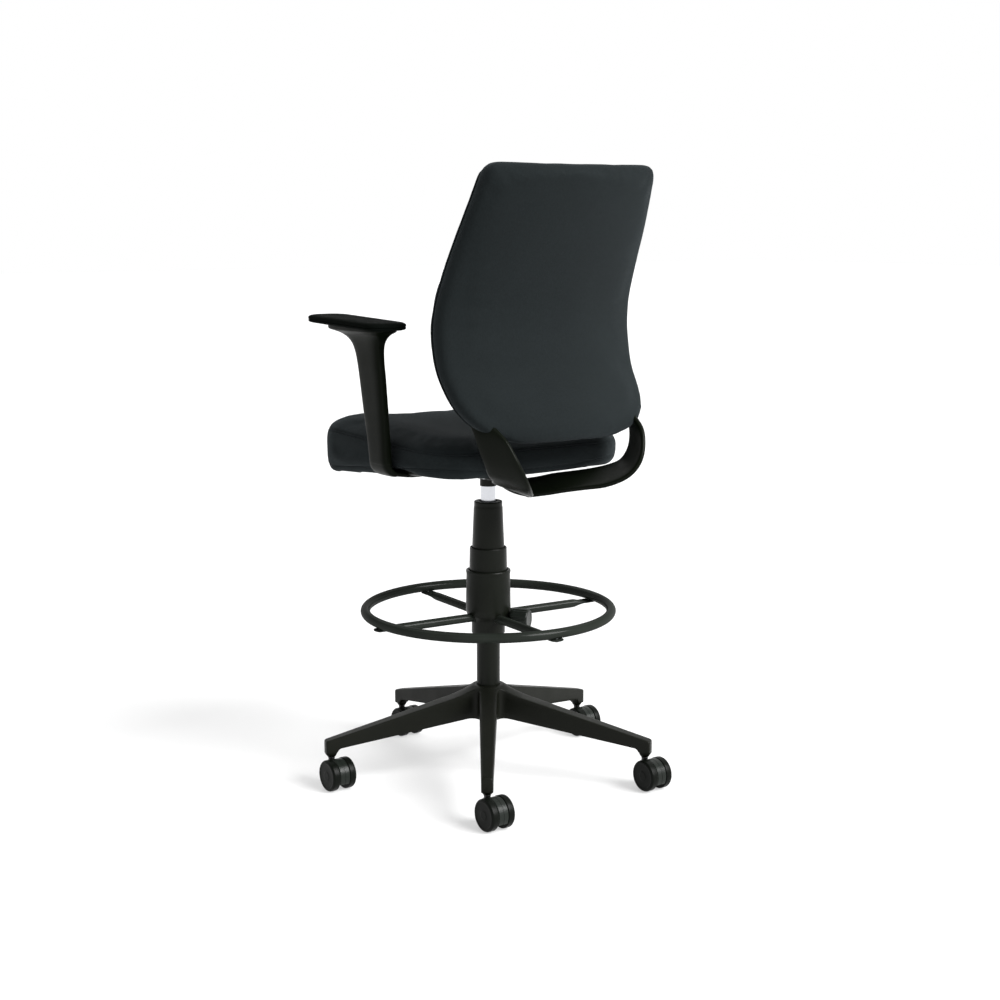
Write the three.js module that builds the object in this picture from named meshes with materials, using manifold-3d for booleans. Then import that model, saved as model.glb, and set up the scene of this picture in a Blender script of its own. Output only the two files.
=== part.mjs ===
// Drafting chair: five-star base on twin-wheel casters, gas column with a stepped cover and a
// foot ring, upholstered seat with fixed T-arms, and a reclining back carried by a forked yoke.
// Millimetres, +Z up, floor at z = 0, chair front towards -Y. The dimensions below have the
// column axis on x = y = 0, and the finished chair is moved so that its plan is centred.
import * as THREE from "three";
import { mergeVertices } from "three/addons/utils/BufferGeometryUtils.js";
import Module from "manifold-3d";

const kernel = await Module();
kernel.setup();

// ---- driving dimensions -------------------------------------------------------------------
const GAP = 0.3; // clearance where two pieces rest on each other
const ROUND = 32; // sides of a large turned piece
const MEDIUM_ROUND = 20; // sides of a caster wheel or knob
const SMALL_ROUND = 12; // sides of a pin, bore or screw
const DEG = Math.PI / 180;
const PLAN_SHIFT = 9.5; // moves the column behind the origin, which is the middle of the plan

const BASE = {
  arms: 5,
  firstArm: -90 * DEG,
  endRadius: 317.5,
  endTop: 89.4,
  endBottom: 61.5,
  ridgeTop: 161.5,
  ridgeRadius: 46,
  hubTop: 171,
  hubBottom: 107,
  hubRadius: 33,
  rootBottom: 109,
  archRadius: 290,
  archBottom: 73,
  endHalfWidth: 10.6,
  rootHalfWidth: 16.5,
  filletRadius: 20,
};

const CASTER = {
  circle: 305.9,
  trail: 22,
  wheelRadius: 29,
  wheelInner: 10.5,
  wheelOuter: 24.4,
  hoodRadius: 28.2,
  hoodHalf: 10,
  hoodSkirt: 15,
  stemRadius: 5.5,
  neckRadius: 6.2,
  neckTop: 56.7,
  stemTop: 84,
  stemBottom: 26,
  axleRadius: 3,
};

const COLUMN = {
  radius: 22,
  wall: 2.5,
  bottom: 106,
  top: 518,
  floor: 6,
  rodRadius: 5,
  rodTop: 480,
  pistonRadius: 10.6,
  cylinderRadius: 14,
  cylinderBore: 11,
  cylinderBottom: 160,
  cylinderTop: 584,
  bushBottom: 430,
};

const COVER = {
  upperTop: 523,
  upperTopRadius: 26.3,
  upperBottom: 404,
  upperBottomRadius: 31.6,
  middleTop: 435.6,
  middleTopRadius: 34.7,
  middleBottom: 352,
  middleBottomRadius: 36.4,
  wall: 2.2,
};

const RING = {
  radius: 231.4,
  tube: 9,
  z: 316,
  hubBottom: 271,
  hubTop: 392.5,
  hubFloor: 335,
  cupRadius: 42.3,
  cupBore: 37.6,
  collarRadius: 31.5,
  spokes: 4,
  firstSpoke: -4 * DEG,
  spokeRadius: 8,
  spokeZ: 303.5,
  spokeRoot: 29,
  flattenFrom: 196,
  flattenTo: 214,
  tabThick: 4,
  tabHalf: 13,
  tabTip: 241,
  knobAngle: 126 * DEG,
  knobZ: 301,
  knobInner: 44,
  knobOuter: 81,
  knobRadius: 20.5,
  studRadius: 4,
  studBore: 4.4,
};

const MECH = {
  half: 60,
  keelHalf: 30,
  front: -108,
  rear: 56,
  bottom: 568.5,
  shoulder: 578.5,
  top: 586.7,
  collarBottom: 551.5,
  collarRadius: 15.4,
  slotHalf: 23.5,
  slotFront: 25,
  pivotY: 38,
  pivotZ: 575.5,
  pinRadius: 4.5,
  pinHalf: 38,
  leverY: -52,
  leverZ: 576.5,
  leverRadius: 4,
};

const SEAT = {
  half: 234,
  rearTaper: 0.91,
  front: -252,
  rear: 164,
  corner: 82,
  panBottom: 587,
  panTop: 597.5,
  panInset: 22,
  wrapInset: 21.6,
  twist: 0.1,
  cushionTop: 667,
  slope: 0.04,
};

const ARM = {
  x: 245,
  postHalf: 10,
  footZ: 592,
  footBendZ: 596,
  footThick: 10.5,
  footInner: 82,
  footFlatTo: 150,
  footFront: -20,
  footRear: 38,
  footClearance: 1,
  bendRadius: 25,
  headZ: 848.5,
  padFront: -182,
  padRear: 60,
  padHalf: 41,
  padThick: 15,
  padSlope: 0.03,
};

const YOKE = { thickness: 11, pocketClearance: 0.7 };

// Rows of the back cushion from its lower edge to its upper edge:
// height, half width, y of the side border, thickness.
const BACK_ROWS = [
  [660, 72, 205, 18],
  [666, 112, 203, 34],
  [677, 150, 200, 48],
  [694, 176, 195, 56],
  [714, 193, 185, 57],
  [738, 202, 169, 56],
  [780, 207.5, 143, 54],
  [850, 209.5, 128, 54],
  [910, 206, 137, 54],
  [968, 201.5, 159, 53],
  [1025, 195, 185, 52],
  [1081, 186, 210, 51],
  [1112, 180, 224, 49],
  [1126, 174, 229, 40],
  [1131.5, 166, 230.5, 28],
  [1134, 156, 231, 14],
];
const BACK_WRAP = 38; // how far the middle of the back lies behind its side borders
const BACK_WRAP_HALF = 212; // half width over which that wrap is measured

// Left fork of the yoke, from the keel under the seat to the end inside the back cushion.
const YOKE_REAR_EDGE = [
  [-6, 131, 548.5],
  [18, 163, 556],
  [34, 184, 562],
  [58, 216, 569],
  [81, 245, 575],
  [103, 270, 588],
  [119, 282, 604],
  [132, 284, 625],
  [142, 277, 650],
  [149, 262, 675],
  [153, 229, 698],
  [155, 206, 720],
  [156, 192, 740],
  [157, 182, 755],
];
const YOKE_FRONT_EDGE = [
  [-6, 72, 569],
  [38, 95, 573.5],
  [65, 113, 579],
  [91, 139, 584.5],
  [112, 169, 591],
  [131, 193, 599],
  [148, 207, 611],
  [160, 213, 631],
  [168, 210, 653],
  [172, 202, 677],
  [173, 188, 699],
  [172, 180, 720],
  [170, 172, 740],
  [168, 168, 754],
];

// ---- materials ----------------------------------------------------------------------------
function material(colour, roughness, metalness = 0) {
  return new THREE.MeshStandardMaterial({ color: colour, roughness, metalness });
}
const M = {
  fabric: material(0x2b2d30, 0.95),
  plastic: material(0x1c1d1b, 0.55),
  enamel: material(0x171816, 0.38, 0.3),
  chrome: material(0xd6d8da, 0.12, 1),
  steel: material(0x8d9093, 0.35, 1),
  tyre: material(0x232422, 0.6),
  nylon: material(0x2a2b29, 0.5),
};

// ---- geometry helpers ---------------------------------------------------------------------
// Merge a geometry into one indexed closed surface, turned so that its faces point outwards.
function closed(geometry) {
  const bare = new THREE.BufferGeometry();
  bare.setAttribute("position", geometry.getAttribute("position").clone());
  if (geometry.index) bare.setIndex(geometry.index.clone());
  const merged = mergeVertices(bare, 1e-3);
  const index = merged.index.array;
  const p = merged.getAttribute("position");
  const a = new THREE.Vector3();
  const b = new THREE.Vector3();
  const c = new THREE.Vector3();
  const kept = [];
  let volume = 0;
  for (let i = 0; i < index.length; i += 3) {
    const [u, v, w] = [index[i], index[i + 1], index[i + 2]];
    if (u === v || v === w || w === u) continue;
    kept.push(u, v, w);
    a.fromBufferAttribute(p, u);
    b.fromBufferAttribute(p, v);
    c.fromBufferAttribute(p, w);
    volume += a.dot(b.cross(c));
  }
  if (volume < 0) kept.reverse();
  merged.setIndex(kept);
  return merged;
}

function toSolid(geometry) {
  const g = closed(geometry);
  return new kernel.Manifold(
    new kernel.Mesh({
      numProp: 3,
      vertProperties: new Float32Array(g.getAttribute("position").array),
      triVerts: new Uint32Array(g.index.array),
    }),
  );
}

function toGeometry(solid) {
  const mesh = solid.getMesh();
  const g = new THREE.BufferGeometry();
  g.setAttribute("position", new THREE.BufferAttribute(mesh.vertProperties, 3));
  g.setIndex(new THREE.BufferAttribute(mesh.triVerts, 1));
  return g;
}

const join = (...parts) => toGeometry(parts.map(toSolid).reduce((a, b) => a.add(b)));
const common = (a, b) => toGeometry(toSolid(a).intersect(toSolid(b)));
const cut = (body, ...tools) =>
  toGeometry(tools.map(toSolid).reduce((a, b) => a.subtract(b), toSolid(body)));

// Turned piece about +Z from [radius, z] points.
function turned(points, sides = ROUND, phase = 0) {
  const profile = points.map(([r, z]) => new THREE.Vector2(r, z));
  return new THREE.LatheGeometry(profile, sides, phase).rotateX(Math.PI / 2);
}

// Turned piece with a bore right through it: the profile closes on itself.
function tube(points, sides = ROUND) {
  return turned([...points, points[0]], sides);
}

function rod(radius, z0, z1, sides = SMALL_ROUND) {
  return turned([[0, z0], [radius, z0], [radius, z1], [0, z1]], sides);
}

function block(x0, x1, y0, y1, z0, z1) {
  return new THREE.BoxGeometry(x1 - x0, y1 - y0, z1 - z0).translate(
    (x0 + x1) / 2,
    (y0 + y1) / 2,
    (z0 + z1) / 2,
  );
}

// Lay a piece made along +Z so that it runs outwards at an angle, at a height.
function outwards(geometry, angle, z) {
  return geometry.rotateY(Math.PI / 2).rotateZ(angle).translate(0, 0, z);
}

// Skin through rings of equal point counts, closed at both ends.
function loft(rings) {
  const n = rings[0].length;
  const position = [];
  const index = [];
  rings.flat().forEach((p) => position.push(p[0], p[1], p[2]));
  for (let k = 0; k + 1 < rings.length; k++)
    for (let i = 0; i < n; i++) {
      const a = k * n + i;
      const b = k * n + ((i + 1) % n);
      index.push(a, b, b + n, a, b + n, a + n);
    }
  [rings[0], rings.at(-1)].forEach((ring, end) => {
    const middle = position.length / 3;
    const base = end * (rings.length - 1) * n;
    position.push(...[0, 1, 2].map((axis) => ring.reduce((s, p) => s + p[axis], 0) / n));
    for (let i = 0; i < n; i++) {
      const a = base + i;
      const b = base + ((i + 1) % n);
      index.push(...(end ? [a, b, middle] : [b, a, middle]));
    }
  });
  const g = new THREE.BufferGeometry();
  g.setAttribute("position", new THREE.Float32BufferAttribute(position, 3));
  g.setIndex(index);
  return g;
}

const power = (value, exponent) => Math.sign(value) * Math.abs(value) ** exponent;

// Rounded bar section in the plane z: centre, half sizes and squareness (1 is an ellipse).
function barRing(x, y, z, halfX, halfY, squareness = 0.5, count = 16) {
  return Array.from({ length: count }, (_, i) => {
    const t = ((i + 0.5) / count) * 2 * Math.PI;
    return [
      x + halfX * power(Math.cos(t), squareness),
      y + halfY * power(Math.sin(t), squareness),
      z,
    ];
  });
}

// Smooth value between rows of [position, a, b, ...].
function between(rows, at, column) {
  const k = Math.max(0, Math.min(rows.length - 2, rows.findLastIndex((r) => r[0] <= at)));
  const [p0, p1, p2, p3] = [k - 1, k, k + 1, k + 2].map(
    (i) => rows[Math.max(0, Math.min(rows.length - 1, i))],
  );
  const span = p2[0] - p1[0];
  const t = Math.max(0, Math.min(1, (at - p1[0]) / span));
  const m1 = ((p2[column] - p0[column]) / (p2[0] - p0[0])) * span;
  const m2 = ((p3[column] - p1[column]) / (p3[0] - p1[0])) * span;
  return (
    p1[column] * (1 + 2 * t) * (1 - t) ** 2 +
    m1 * t * (1 - t) ** 2 +
    p2[column] * t * t * (3 - 2 * t) +
    m2 * t * t * (t - 1)
  );
}

const mirrored = (geometry) => closed(geometry.clone().scale(-1, 1, 1));

const chair = new THREE.Group();
chair.name = "drafting_chair";

function add(name, geometry, finish) {
  const g = closed(geometry).toNonIndexed();
  g.computeVertexNormals();
  const mesh = new THREE.Mesh(g, finish);
  mesh.name = name;
  chair.add(mesh);
}

// ---- base ---------------------------------------------------------------------------------
// Plan outline of the star: tapered arms with rounded inner corners.
function starOutline() {
  const shape = new THREE.Shape();
  const step = (2 * Math.PI) / BASE.arms;
  const rootAt = BASE.rootHalfWidth / Math.tan(step / 2) + BASE.filletRadius;
  const tip = BASE.endRadius + 6;
  const corner = (angle, r, side) => [
    r * Math.cos(angle) - side * Math.sin(angle),
    r * Math.sin(angle) + side * Math.cos(angle),
  ];
  const widthAt = (r) =>
    BASE.rootHalfWidth +
    ((BASE.endHalfWidth - BASE.rootHalfWidth) * (r - rootAt)) / (BASE.endRadius - rootAt);
  for (let i = 0; i < BASE.arms; i++) {
    const angle = BASE.firstArm + i * step;
    const root = corner(angle, rootAt, -BASE.rootHalfWidth);
    if (i) shape.lineTo(...root);
    else shape.moveTo(...root);
    shape.lineTo(...corner(angle, tip, -widthAt(tip)));
    shape.lineTo(...corner(angle, tip, widthAt(tip)));
    shape.lineTo(...corner(angle, rootAt, BASE.rootHalfWidth));
    const next = corner(angle + step, rootAt, -BASE.rootHalfWidth);
    const inner = BASE.rootHalfWidth / Math.sin(step / 2);
    shape.quadraticCurveTo(
      inner * Math.cos(angle + step / 2),
      inner * Math.sin(angle + step / 2),
      ...next,
    );
  }
  return shape;
}

function baseStar() {
  const prism = new THREE.ExtrudeGeometry(starOutline(), {
    depth: BASE.hubTop - 40,
    bevelEnabled: false,
    curveSegments: 7,
  }).translate(0, 0, 40);
  const sides = 4 * BASE.arms;
  const envelope = turned(
    [
      [0, BASE.rootBottom],
      [BASE.ridgeRadius, BASE.rootBottom],
      [BASE.archRadius, BASE.archBottom],
      [BASE.archRadius + 11, BASE.endBottom],
      [BASE.endRadius, BASE.endBottom],
      [BASE.endRadius, BASE.endTop - 3],
      [BASE.endRadius - 3, BASE.endTop],
      [BASE.ridgeRadius + 24, BASE.ridgeTop - 9.5],
      [BASE.ridgeRadius, BASE.ridgeTop],
      [0, BASE.ridgeTop],
    ],
    sides,
    Math.PI / sides,
  );
  const arms = common(prism, envelope);
  const hub = turned([
    [0, BASE.hubBottom],
    [BASE.hubRadius, BASE.hubBottom],
    [BASE.hubRadius, BASE.ridgeTop - 2],
    [BASE.hubRadius - 5, BASE.hubTop],
    [0, BASE.hubTop],
  ]);
  const sockets = [];
  const bores = [rod(COLUMN.radius + 0.15, 0, 2 * BASE.hubTop, ROUND)];
  for (let i = 0; i < BASE.arms; i++) {
    const angle = BASE.firstArm + (i * 2 * Math.PI) / BASE.arms;
    const x = CASTER.circle * Math.cos(angle);
    const y = CASTER.circle * Math.sin(angle);
    const boss = turned(
      [
        [0, CASTER.neckTop + 0.6],
        [7.4, CASTER.neckTop + 0.6],
        [BASE.endHalfWidth, BASE.endBottom + 1.5],
        [BASE.endHalfWidth, BASE.archBottom + 3],
        [0, BASE.archBottom + 3],
      ],
      SMALL_ROUND,
    );
    sockets.push(boss.translate(x, y, 0));
    bores.push(rod(CASTER.stemRadius + 0.3, 0, CASTER.stemTop + 1).translate(x, y, 0));
  }
  return cut(join(arms, hub, ...sockets), ...bores);
}

// ---- casters ------------------------------------------------------------------------------
// Disc across X, centred on the axle.
function axleDisc(radius, x0, x1, sides = MEDIUM_ROUND) {
  return rod(radius, x0, x1, sides)
    .rotateY(Math.PI / 2)
    .translate(0, CASTER.trail, CASTER.wheelRadius);
}

function casterHood() {
  const { hoodRadius, hoodHalf, hoodSkirt, stemRadius, neckRadius, stemBottom, trail } = CASTER;
  const shell = cut(
    axleDisc(hoodRadius, -hoodHalf, hoodHalf),
    block(-2 * hoodHalf, 2 * hoodHalf, -60, trail - 9, -20, hoodSkirt),
    block(-2 * hoodHalf, 2 * hoodHalf, trail + 9, 90, -20, hoodSkirt),
    block(-2 * hoodHalf, 2 * hoodHalf, trail - 10, trail + 10, -20, hoodSkirt - 2),
  );
  const boss = rod(hoodHalf - 0.6, stemBottom - 6, 48.5);
  return cut(
    join(shell, boss),
    rod(stemRadius + 0.3, stemBottom - 0.3, 70),
    rod(neckRadius + 0.4, 48.6, 70),
    axleDisc(CASTER.axleRadius + 0.2, -2 * hoodHalf, 2 * hoodHalf, SMALL_ROUND),
  );
}

function casterStem() {
  const { stemRadius, neckRadius, stemBottom, neckTop, stemTop } = CASTER;
  return turned(
    [
      [0, stemBottom],
      [stemRadius, stemBottom],
      [stemRadius, 48.8],
      [neckRadius, 48.8],
      [neckRadius, neckTop],
      [stemRadius, neckTop],
      [stemRadius, stemTop],
      [0, stemTop],
    ],
    SMALL_ROUND,
  );
}

// Wheel with a rounded tread and a dished outer face; side is +1 or -1 along X.
function casterWheel(side) {
  const { wheelRadius, wheelInner, wheelOuter, axleRadius } = CASTER;
  const bore = axleRadius + 0.2;
  const profile = [
    [bore, wheelInner],
    [wheelRadius - 0.8, wheelInner],
    [wheelRadius, wheelInner + 0.8],
    [wheelRadius, wheelOuter - 2.8],
    [wheelRadius - 3, wheelOuter],
    [bore, wheelOuter],
  ];
  return tube(profile, MEDIUM_ROUND)
    .rotateY((side * Math.PI) / 2)
    .translate(0, CASTER.trail, wheelRadius);
}

function casterAxle() {
  return axleDisc(
    CASTER.axleRadius,
    -CASTER.wheelOuter + 0.6,
    CASTER.wheelOuter - 0.6,
    SMALL_ROUND,
  );
}

function addCasters() {
  for (let i = 0; i < BASE.arms; i++) {
    const angle = BASE.firstArm + (i * 2 * Math.PI) / BASE.arms;
    const at = [CASTER.circle * Math.cos(angle), CASTER.circle * Math.sin(angle), 0];
    const name = `caster_${i + 1}`;
    add(`${name}_stem`, casterStem().translate(...at), M.steel);
    add(`${name}_hood`, closed(casterHood()).translate(...at), M.nylon);
    add(`${name}_axle`, casterAxle().translate(...at), M.steel);
    add(`${name}_wheel_left`, casterWheel(1).translate(...at), M.tyre);
    add(`${name}_wheel_right`, casterWheel(-1).translate(...at), M.tyre);
  }
}

// ---- column -------------------------------------------------------------------------------
function columnTube() {
  const { radius, wall, bottom, top, floor, rodRadius } = COLUMN;
  return tube([
    [rodRadius + 0.3, bottom],
    [radius, bottom],
    [radius, top],
    [radius - wall, top],
    [radius - wall, bottom + floor],
    [rodRadius + 0.3, bottom + floor],
  ]);
}

function guideBush() {
  const { radius, wall, top, bushBottom, cylinderRadius } = COLUMN;
  return tube([
    [cylinderRadius + 0.15, bushBottom],
    [radius - wall - 0.1, bushBottom],
    [radius - wall - 0.1, top - 1],
    [cylinderRadius + 0.15, top - 1],
  ]);
}

function pistonRod() {
  const { bottom, floor, rodRadius, rodTop, pistonRadius } = COLUMN;
  const profile = [
    [0, bottom - 8],
    [rodRadius, bottom - 8],
    [rodRadius, bottom + floor + 8],
    [rodRadius + 4, bottom + floor + 8],
    [rodRadius + 4, bottom + floor + 12],
    [rodRadius, bottom + floor + 12],
    [rodRadius, rodTop - 12],
    [pistonRadius, rodTop - 12],
    [pistonRadius, rodTop],
    [0, rodTop],
  ];
  return turned(profile, MEDIUM_ROUND);
}

function thrustBearing() {
  const { bottom, floor, rodRadius } = COLUMN;
  const z0 = bottom + floor + GAP;
  const z1 = bottom + floor + 8 - GAP;
  const profile = [
    [rodRadius + 0.2, z0],
    [14, z0],
    [14, z1],
    [rodRadius + 0.2, z1],
  ];
  return tube(profile, MEDIUM_ROUND);
}

function retainingClip() {
  const { bottom, rodRadius } = COLUMN;
  const top = bottom - GAP;
  return tube(
    [
      [rodRadius + 0.3, top - 2],
      [10, top - 2],
      [10, top],
      [rodRadius + 0.3, top],
    ],
    SMALL_ROUND,
  );
}

function gasCylinder() {
  const { cylinderRadius, cylinderBore, cylinderBottom, cylinderTop, rodRadius } = COLUMN;
  return turned([
    [0, cylinderTop - 30],
    [cylinderBore, cylinderTop - 30],
    [cylinderBore, cylinderBottom + 12],
    [rodRadius + 0.3, cylinderBottom + 12],
    [rodRadius + 0.3, cylinderBottom],
    [cylinderRadius, cylinderBottom],
    [cylinderRadius, MECH.collarBottom],
    [cylinderRadius - 0.3, cylinderTop],
    [0, cylinderTop],
  ]);
}

function coverUpper() {
  const c = COVER;
  const inside = COLUMN.radius + GAP;
  return tube([
    [inside, c.upperBottom],
    [c.upperBottomRadius, c.upperBottom],
    [c.upperTopRadius + 0.8, c.upperTop - 12],
    [c.upperTopRadius, c.upperTop - 9],
    [c.upperTopRadius + 0.4, c.upperTop - 1.5],
    [c.upperTopRadius - 0.8, c.upperTop],
    [COLUMN.cylinderRadius + 4.2, c.upperTop],
    [COLUMN.cylinderRadius + 3.2, c.upperTop - 4],
    [COLUMN.cylinderRadius + 0.8, c.upperTop - 4],
    [COLUMN.cylinderRadius + 0.8, COLUMN.top + GAP],
    [inside, COLUMN.top + GAP],
  ]);
}

function coverMiddle() {
  const c = COVER;
  const lip = c.upperBottomRadius + 0.4;
  return tube([
    [COLUMN.radius + GAP, c.middleBottom],
    [c.middleBottomRadius, c.middleBottom],
    [c.middleTopRadius, c.middleTop - 1],
    [c.middleTopRadius - 1, c.middleTop],
    [lip, c.middleTop],
    [lip, c.middleBottom + 4],
    [COLUMN.radius + GAP, c.middleBottom + 4],
  ]);
}

// ---- foot ring ----------------------------------------------------------------------------
const spokeAngles = Array.from(
  { length: RING.spokes },
  (_, i) => RING.firstSpoke + (i * 2 * Math.PI) / RING.spokes,
);

function ringHub() {
  const r = RING;
  const bore = COLUMN.radius + GAP;
  const body = tube([
    [bore, r.hubBottom],
    [r.collarRadius, r.hubBottom],
    [r.collarRadius, r.hubBottom + 26],
    [r.collarRadius + 4, r.hubBottom + 30],
    [r.cupRadius - 2, r.hubBottom + 36],
    [r.cupRadius, r.hubBottom + 44],
    [r.cupRadius - 1.2, r.hubTop - 8],
    [r.cupRadius - 0.1, r.hubTop - 2],
    [r.cupRadius - 1.2, r.hubTop],
    [r.cupBore, r.hubTop],
    [r.cupBore, r.hubFloor],
    [bore, r.hubFloor],
  ]);
  const boss = outwards(rod(11, COLUMN.radius + 3, r.knobInner - 1.5), r.knobAngle, r.knobZ);
  const sockets = spokeAngles.map((angle) =>
    outwards(rod(r.spokeRadius + 0.5, r.spokeRoot - GAP, 60), angle, r.spokeZ),
  );
  const thread = outwards(rod(r.studBore, 10, 60), r.knobAngle, r.knobZ);
  return cut(join(body, boss), ...sockets, thread);
}

function footRing() {
  const r = RING;
  const ring = new THREE.TorusGeometry(r.radius, r.tube, 8, 56).translate(0, 0, r.z);
  const holes = spokeAngles.map((angle) =>
    rod(2.7, r.z - 2 * r.tube, r.z - 2, 12).translate(
      r.radius * Math.cos(angle),
      r.radius * Math.sin(angle),
      0,
    ),
  );
  return cut(ring, ...holes);
}

// Round spoke whose outer end is pressed flat into a tab under the ring.
function spoke(angle) {
  const r = RING;
  const tabZ = r.z - r.tube - GAP - r.tabThick / 2 - r.spokeZ;
  const ring = (x, half, halfZ, z) =>
    barRing(0, 0, x, halfZ, half, halfZ < half ? 0.5 : 1, 12).map((p) => [p[2], p[1], z + p[0]]);
  const body = loft([
    ring(r.spokeRoot, r.spokeRadius, r.spokeRadius, 0),
    ring(r.flattenFrom, r.spokeRadius, r.spokeRadius, 0),
    ring((r.flattenFrom + r.flattenTo) / 2, 9.8, 4.4, tabZ / 2),
    ring(r.flattenTo, r.tabHalf, r.tabThick / 2, tabZ),
    ring(r.tabTip - 5, r.tabHalf, r.tabThick / 2, tabZ),
    ring(r.tabTip, r.tabHalf - 6, r.tabThick / 2, tabZ),
  ]);
  const hole = rod(2.7, -20, 20, 12).translate(r.radius, 0, 0);
  return cut(body, hole).rotateZ(angle).translate(0, 0, r.spokeZ);
}

function spokeScrew(angle) {
  const r = RING;
  const under = r.z - r.tube - r.tabThick - 2 * GAP;
  return turned(
    [
      [0, under - 1.8],
      [3.6, under - 1.8],
      [5, under - 0.8],
      [5, under],
      [2.5, under],
      [2.5, r.z - 3],
      [0, r.z - 3],
    ],
    12,
  ).translate(r.radius * Math.cos(angle), r.radius * Math.sin(angle), 0);
}

// Clamp knob with shallow flutes round its grip.
function clampKnob() {
  const r = RING;
  const flutes = 24;
  const ring = (z, radius, depth) =>
    Array.from({ length: flutes }, (_, i) => {
      const t = (i / flutes) * 2 * Math.PI;
      const reach = radius - (i % 2 ? depth : 0);
      return [reach * Math.cos(t), reach * Math.sin(t), z];
    });
  const body = loft([
    ring(r.knobInner, r.knobRadius - 5, 0),
    ring(r.knobInner + 5, r.knobRadius - 1, 0.6),
    ring(r.knobInner + 9, r.knobRadius, 0.8),
    ring(r.knobOuter - 3, r.knobRadius - 0.4, 0.8),
    ring(r.knobOuter, r.knobRadius - 2.4, 0),
  ]);
  const bore = rod(r.studRadius + 0.1, 0, r.knobOuter - 12);
  return outwards(cut(body, bore), r.knobAngle, r.knobZ);
}

function clampStud() {
  const r = RING;
  const stud = rod(r.studRadius, COLUMN.radius + GAP, r.knobOuter - 13);
  return outwards(stud, r.knobAngle, r.knobZ);
}

function addFootRing() {
  add("ring_hub", ringHub(), M.plastic);
  add("foot_ring", footRing(), M.enamel);
  spokeAngles.forEach((angle, i) => {
    add(`ring_spoke_${i + 1}`, spoke(angle), M.enamel);
    add(`ring_screw_${i + 1}`, spokeScrew(angle), M.steel);
  });
  add("clamp_stud", clampStud(), M.steel);
  add("clamp_knob", clampKnob(), M.plastic);
}

// ---- tilt mechanism -----------------------------------------------------------------------
function mechHousing() {
  const m = MECH;
  const middle = (m.front + m.rear) / 2;
  const depth = (m.rear - m.front) / 2;
  const body = loft([
    barRing(0, middle, m.bottom, m.keelHalf, depth - 9, 0.35, 28),
    barRing(0, middle, m.bottom + 2.5, m.keelHalf + 5, depth - 3, 0.3, 28),
    barRing(0, middle, m.shoulder, m.half - 1, depth, 0.28, 28),
    barRing(0, middle, m.top, m.half, depth, 0.28, 28),
  ]);
  const collar = rod(m.collarRadius, m.collarBottom, m.bottom + 3, ROUND);
  const socket = rod(COLUMN.cylinderRadius + 0.15, m.collarBottom - 1, COLUMN.cylinderTop + GAP, ROUND);
  const slot = block(-m.slotHalf, m.slotHalf, m.slotFront, 2 * m.rear, m.bottom - 1, m.top + 1);
  const pinBore = rod(m.pinRadius + 0.2, -m.pinHalf - GAP, m.pinHalf + GAP)
    .rotateY(Math.PI / 2)
    .translate(0, m.pivotY, m.pivotZ);
  const leverBore = rod(m.leverRadius + 0.2, -2 * m.half, -30)
    .rotateY(Math.PI / 2)
    .translate(0, m.leverY, m.leverZ);
  return cut(join(body, collar), socket, slot, pinBore, leverBore);
}

function yokePin() {
  const m = MECH;
  return rod(m.pinRadius, -m.pinHalf, m.pinHalf)
    .rotateY(Math.PI / 2)
    .translate(0, m.pivotY, m.pivotZ);
}

// Height lever: a rod out of the mechanism's right side with a flat paddle.
function heightLever() {
  const m = MECH;
  const shaft = rod(m.leverRadius, -150, -34).rotateY(Math.PI / 2);
  const turn = (ring) => ring.map(([x, y, z]) => [-z, y, x]);
  const paddle = loft([
    turn(barRing(0, 0, 138, 4.6, 5, 0.8)),
    turn(barRing(-0.5, 0, 150, 4.4, 8, 0.7)),
    turn(barRing(-1.5, 0, 162, 3.6, 12, 0.6)),
    turn(barRing(-2, 0, 190, 3.2, 13, 0.6)),
    turn(barRing(-2, 0, 198, 2.6, 9, 0.6)),
  ]);
  return join(shaft, paddle).translate(0, m.leverY, m.leverZ);
}

// ---- seat ---------------------------------------------------------------------------------
// Rounded plan outline of the seat at a height, drawn in by an inset. The slope drops the
// outline towards the rear, and the twist lifts its sides at the rear and drops them in front.
function seatRing(inset, z, slope = 0, twist = 0) {
  const { half, front, rear, corner, rearTaper } = SEAT;
  const w = half - inset;
  const f = front + inset;
  const b = rear - inset;
  const r = Math.max(14, corner - inset * 0.6);
  const perCorner = 7;
  const corners = [
    [w - r, b - r, 0],
    [-w + r, b - r, 90],
    [-w + r, f + r, 180],
    [w - r, f + r, 270],
  ];
  const arcs = corners.map(([cx, cy, from]) =>
    Array.from({ length: perCorner }, (_, i) => {
      const t = (from + (90 * i) / (perCorner - 1)) * DEG;
      return [cx + r * Math.cos(t), cy + r * Math.sin(t)];
    }),
  );
  const outline = arcs.flatMap((arc, i) => {
    const [x0, y0] = arc.at(-1);
    const [x1, y1] = arcs[(i + 1) % arcs.length][0];
    const side = [0.25, 0.5, 0.75].map((t) => [x0 + (x1 - x0) * t, y0 + (y1 - y0) * t]);
    return [...arc, ...side];
  });
  return outline.map(([x, y]) => {
    const back = Math.max(0, (y - front) / (rear - front));
    const narrow = 1 - (1 - rearTaper) * back ** 2;
    return [x * narrow, y, z + y * (twist * (x / half) ** 2 - slope)];
  });
}

function seatPan() {
  const s = SEAT;
  const edge = (inset, z) => seatRing(inset, z, 0, s.twist);
  const pan = loft([
    seatRing(124, s.panBottom),
    edge(60, s.panBottom + 0.5),
    edge(s.panInset + 14, s.panBottom + 1.5),
    edge(s.panInset + 3, s.panBottom + 3.5),
    edge(s.panInset, s.panBottom + 6),
    edge(s.panInset, s.panTop),
  ]);
  const channel = closed(loft(armFoot(ARM.footClearance)));
  return cut(pan, channel, mirrored(channel));
}

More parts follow.
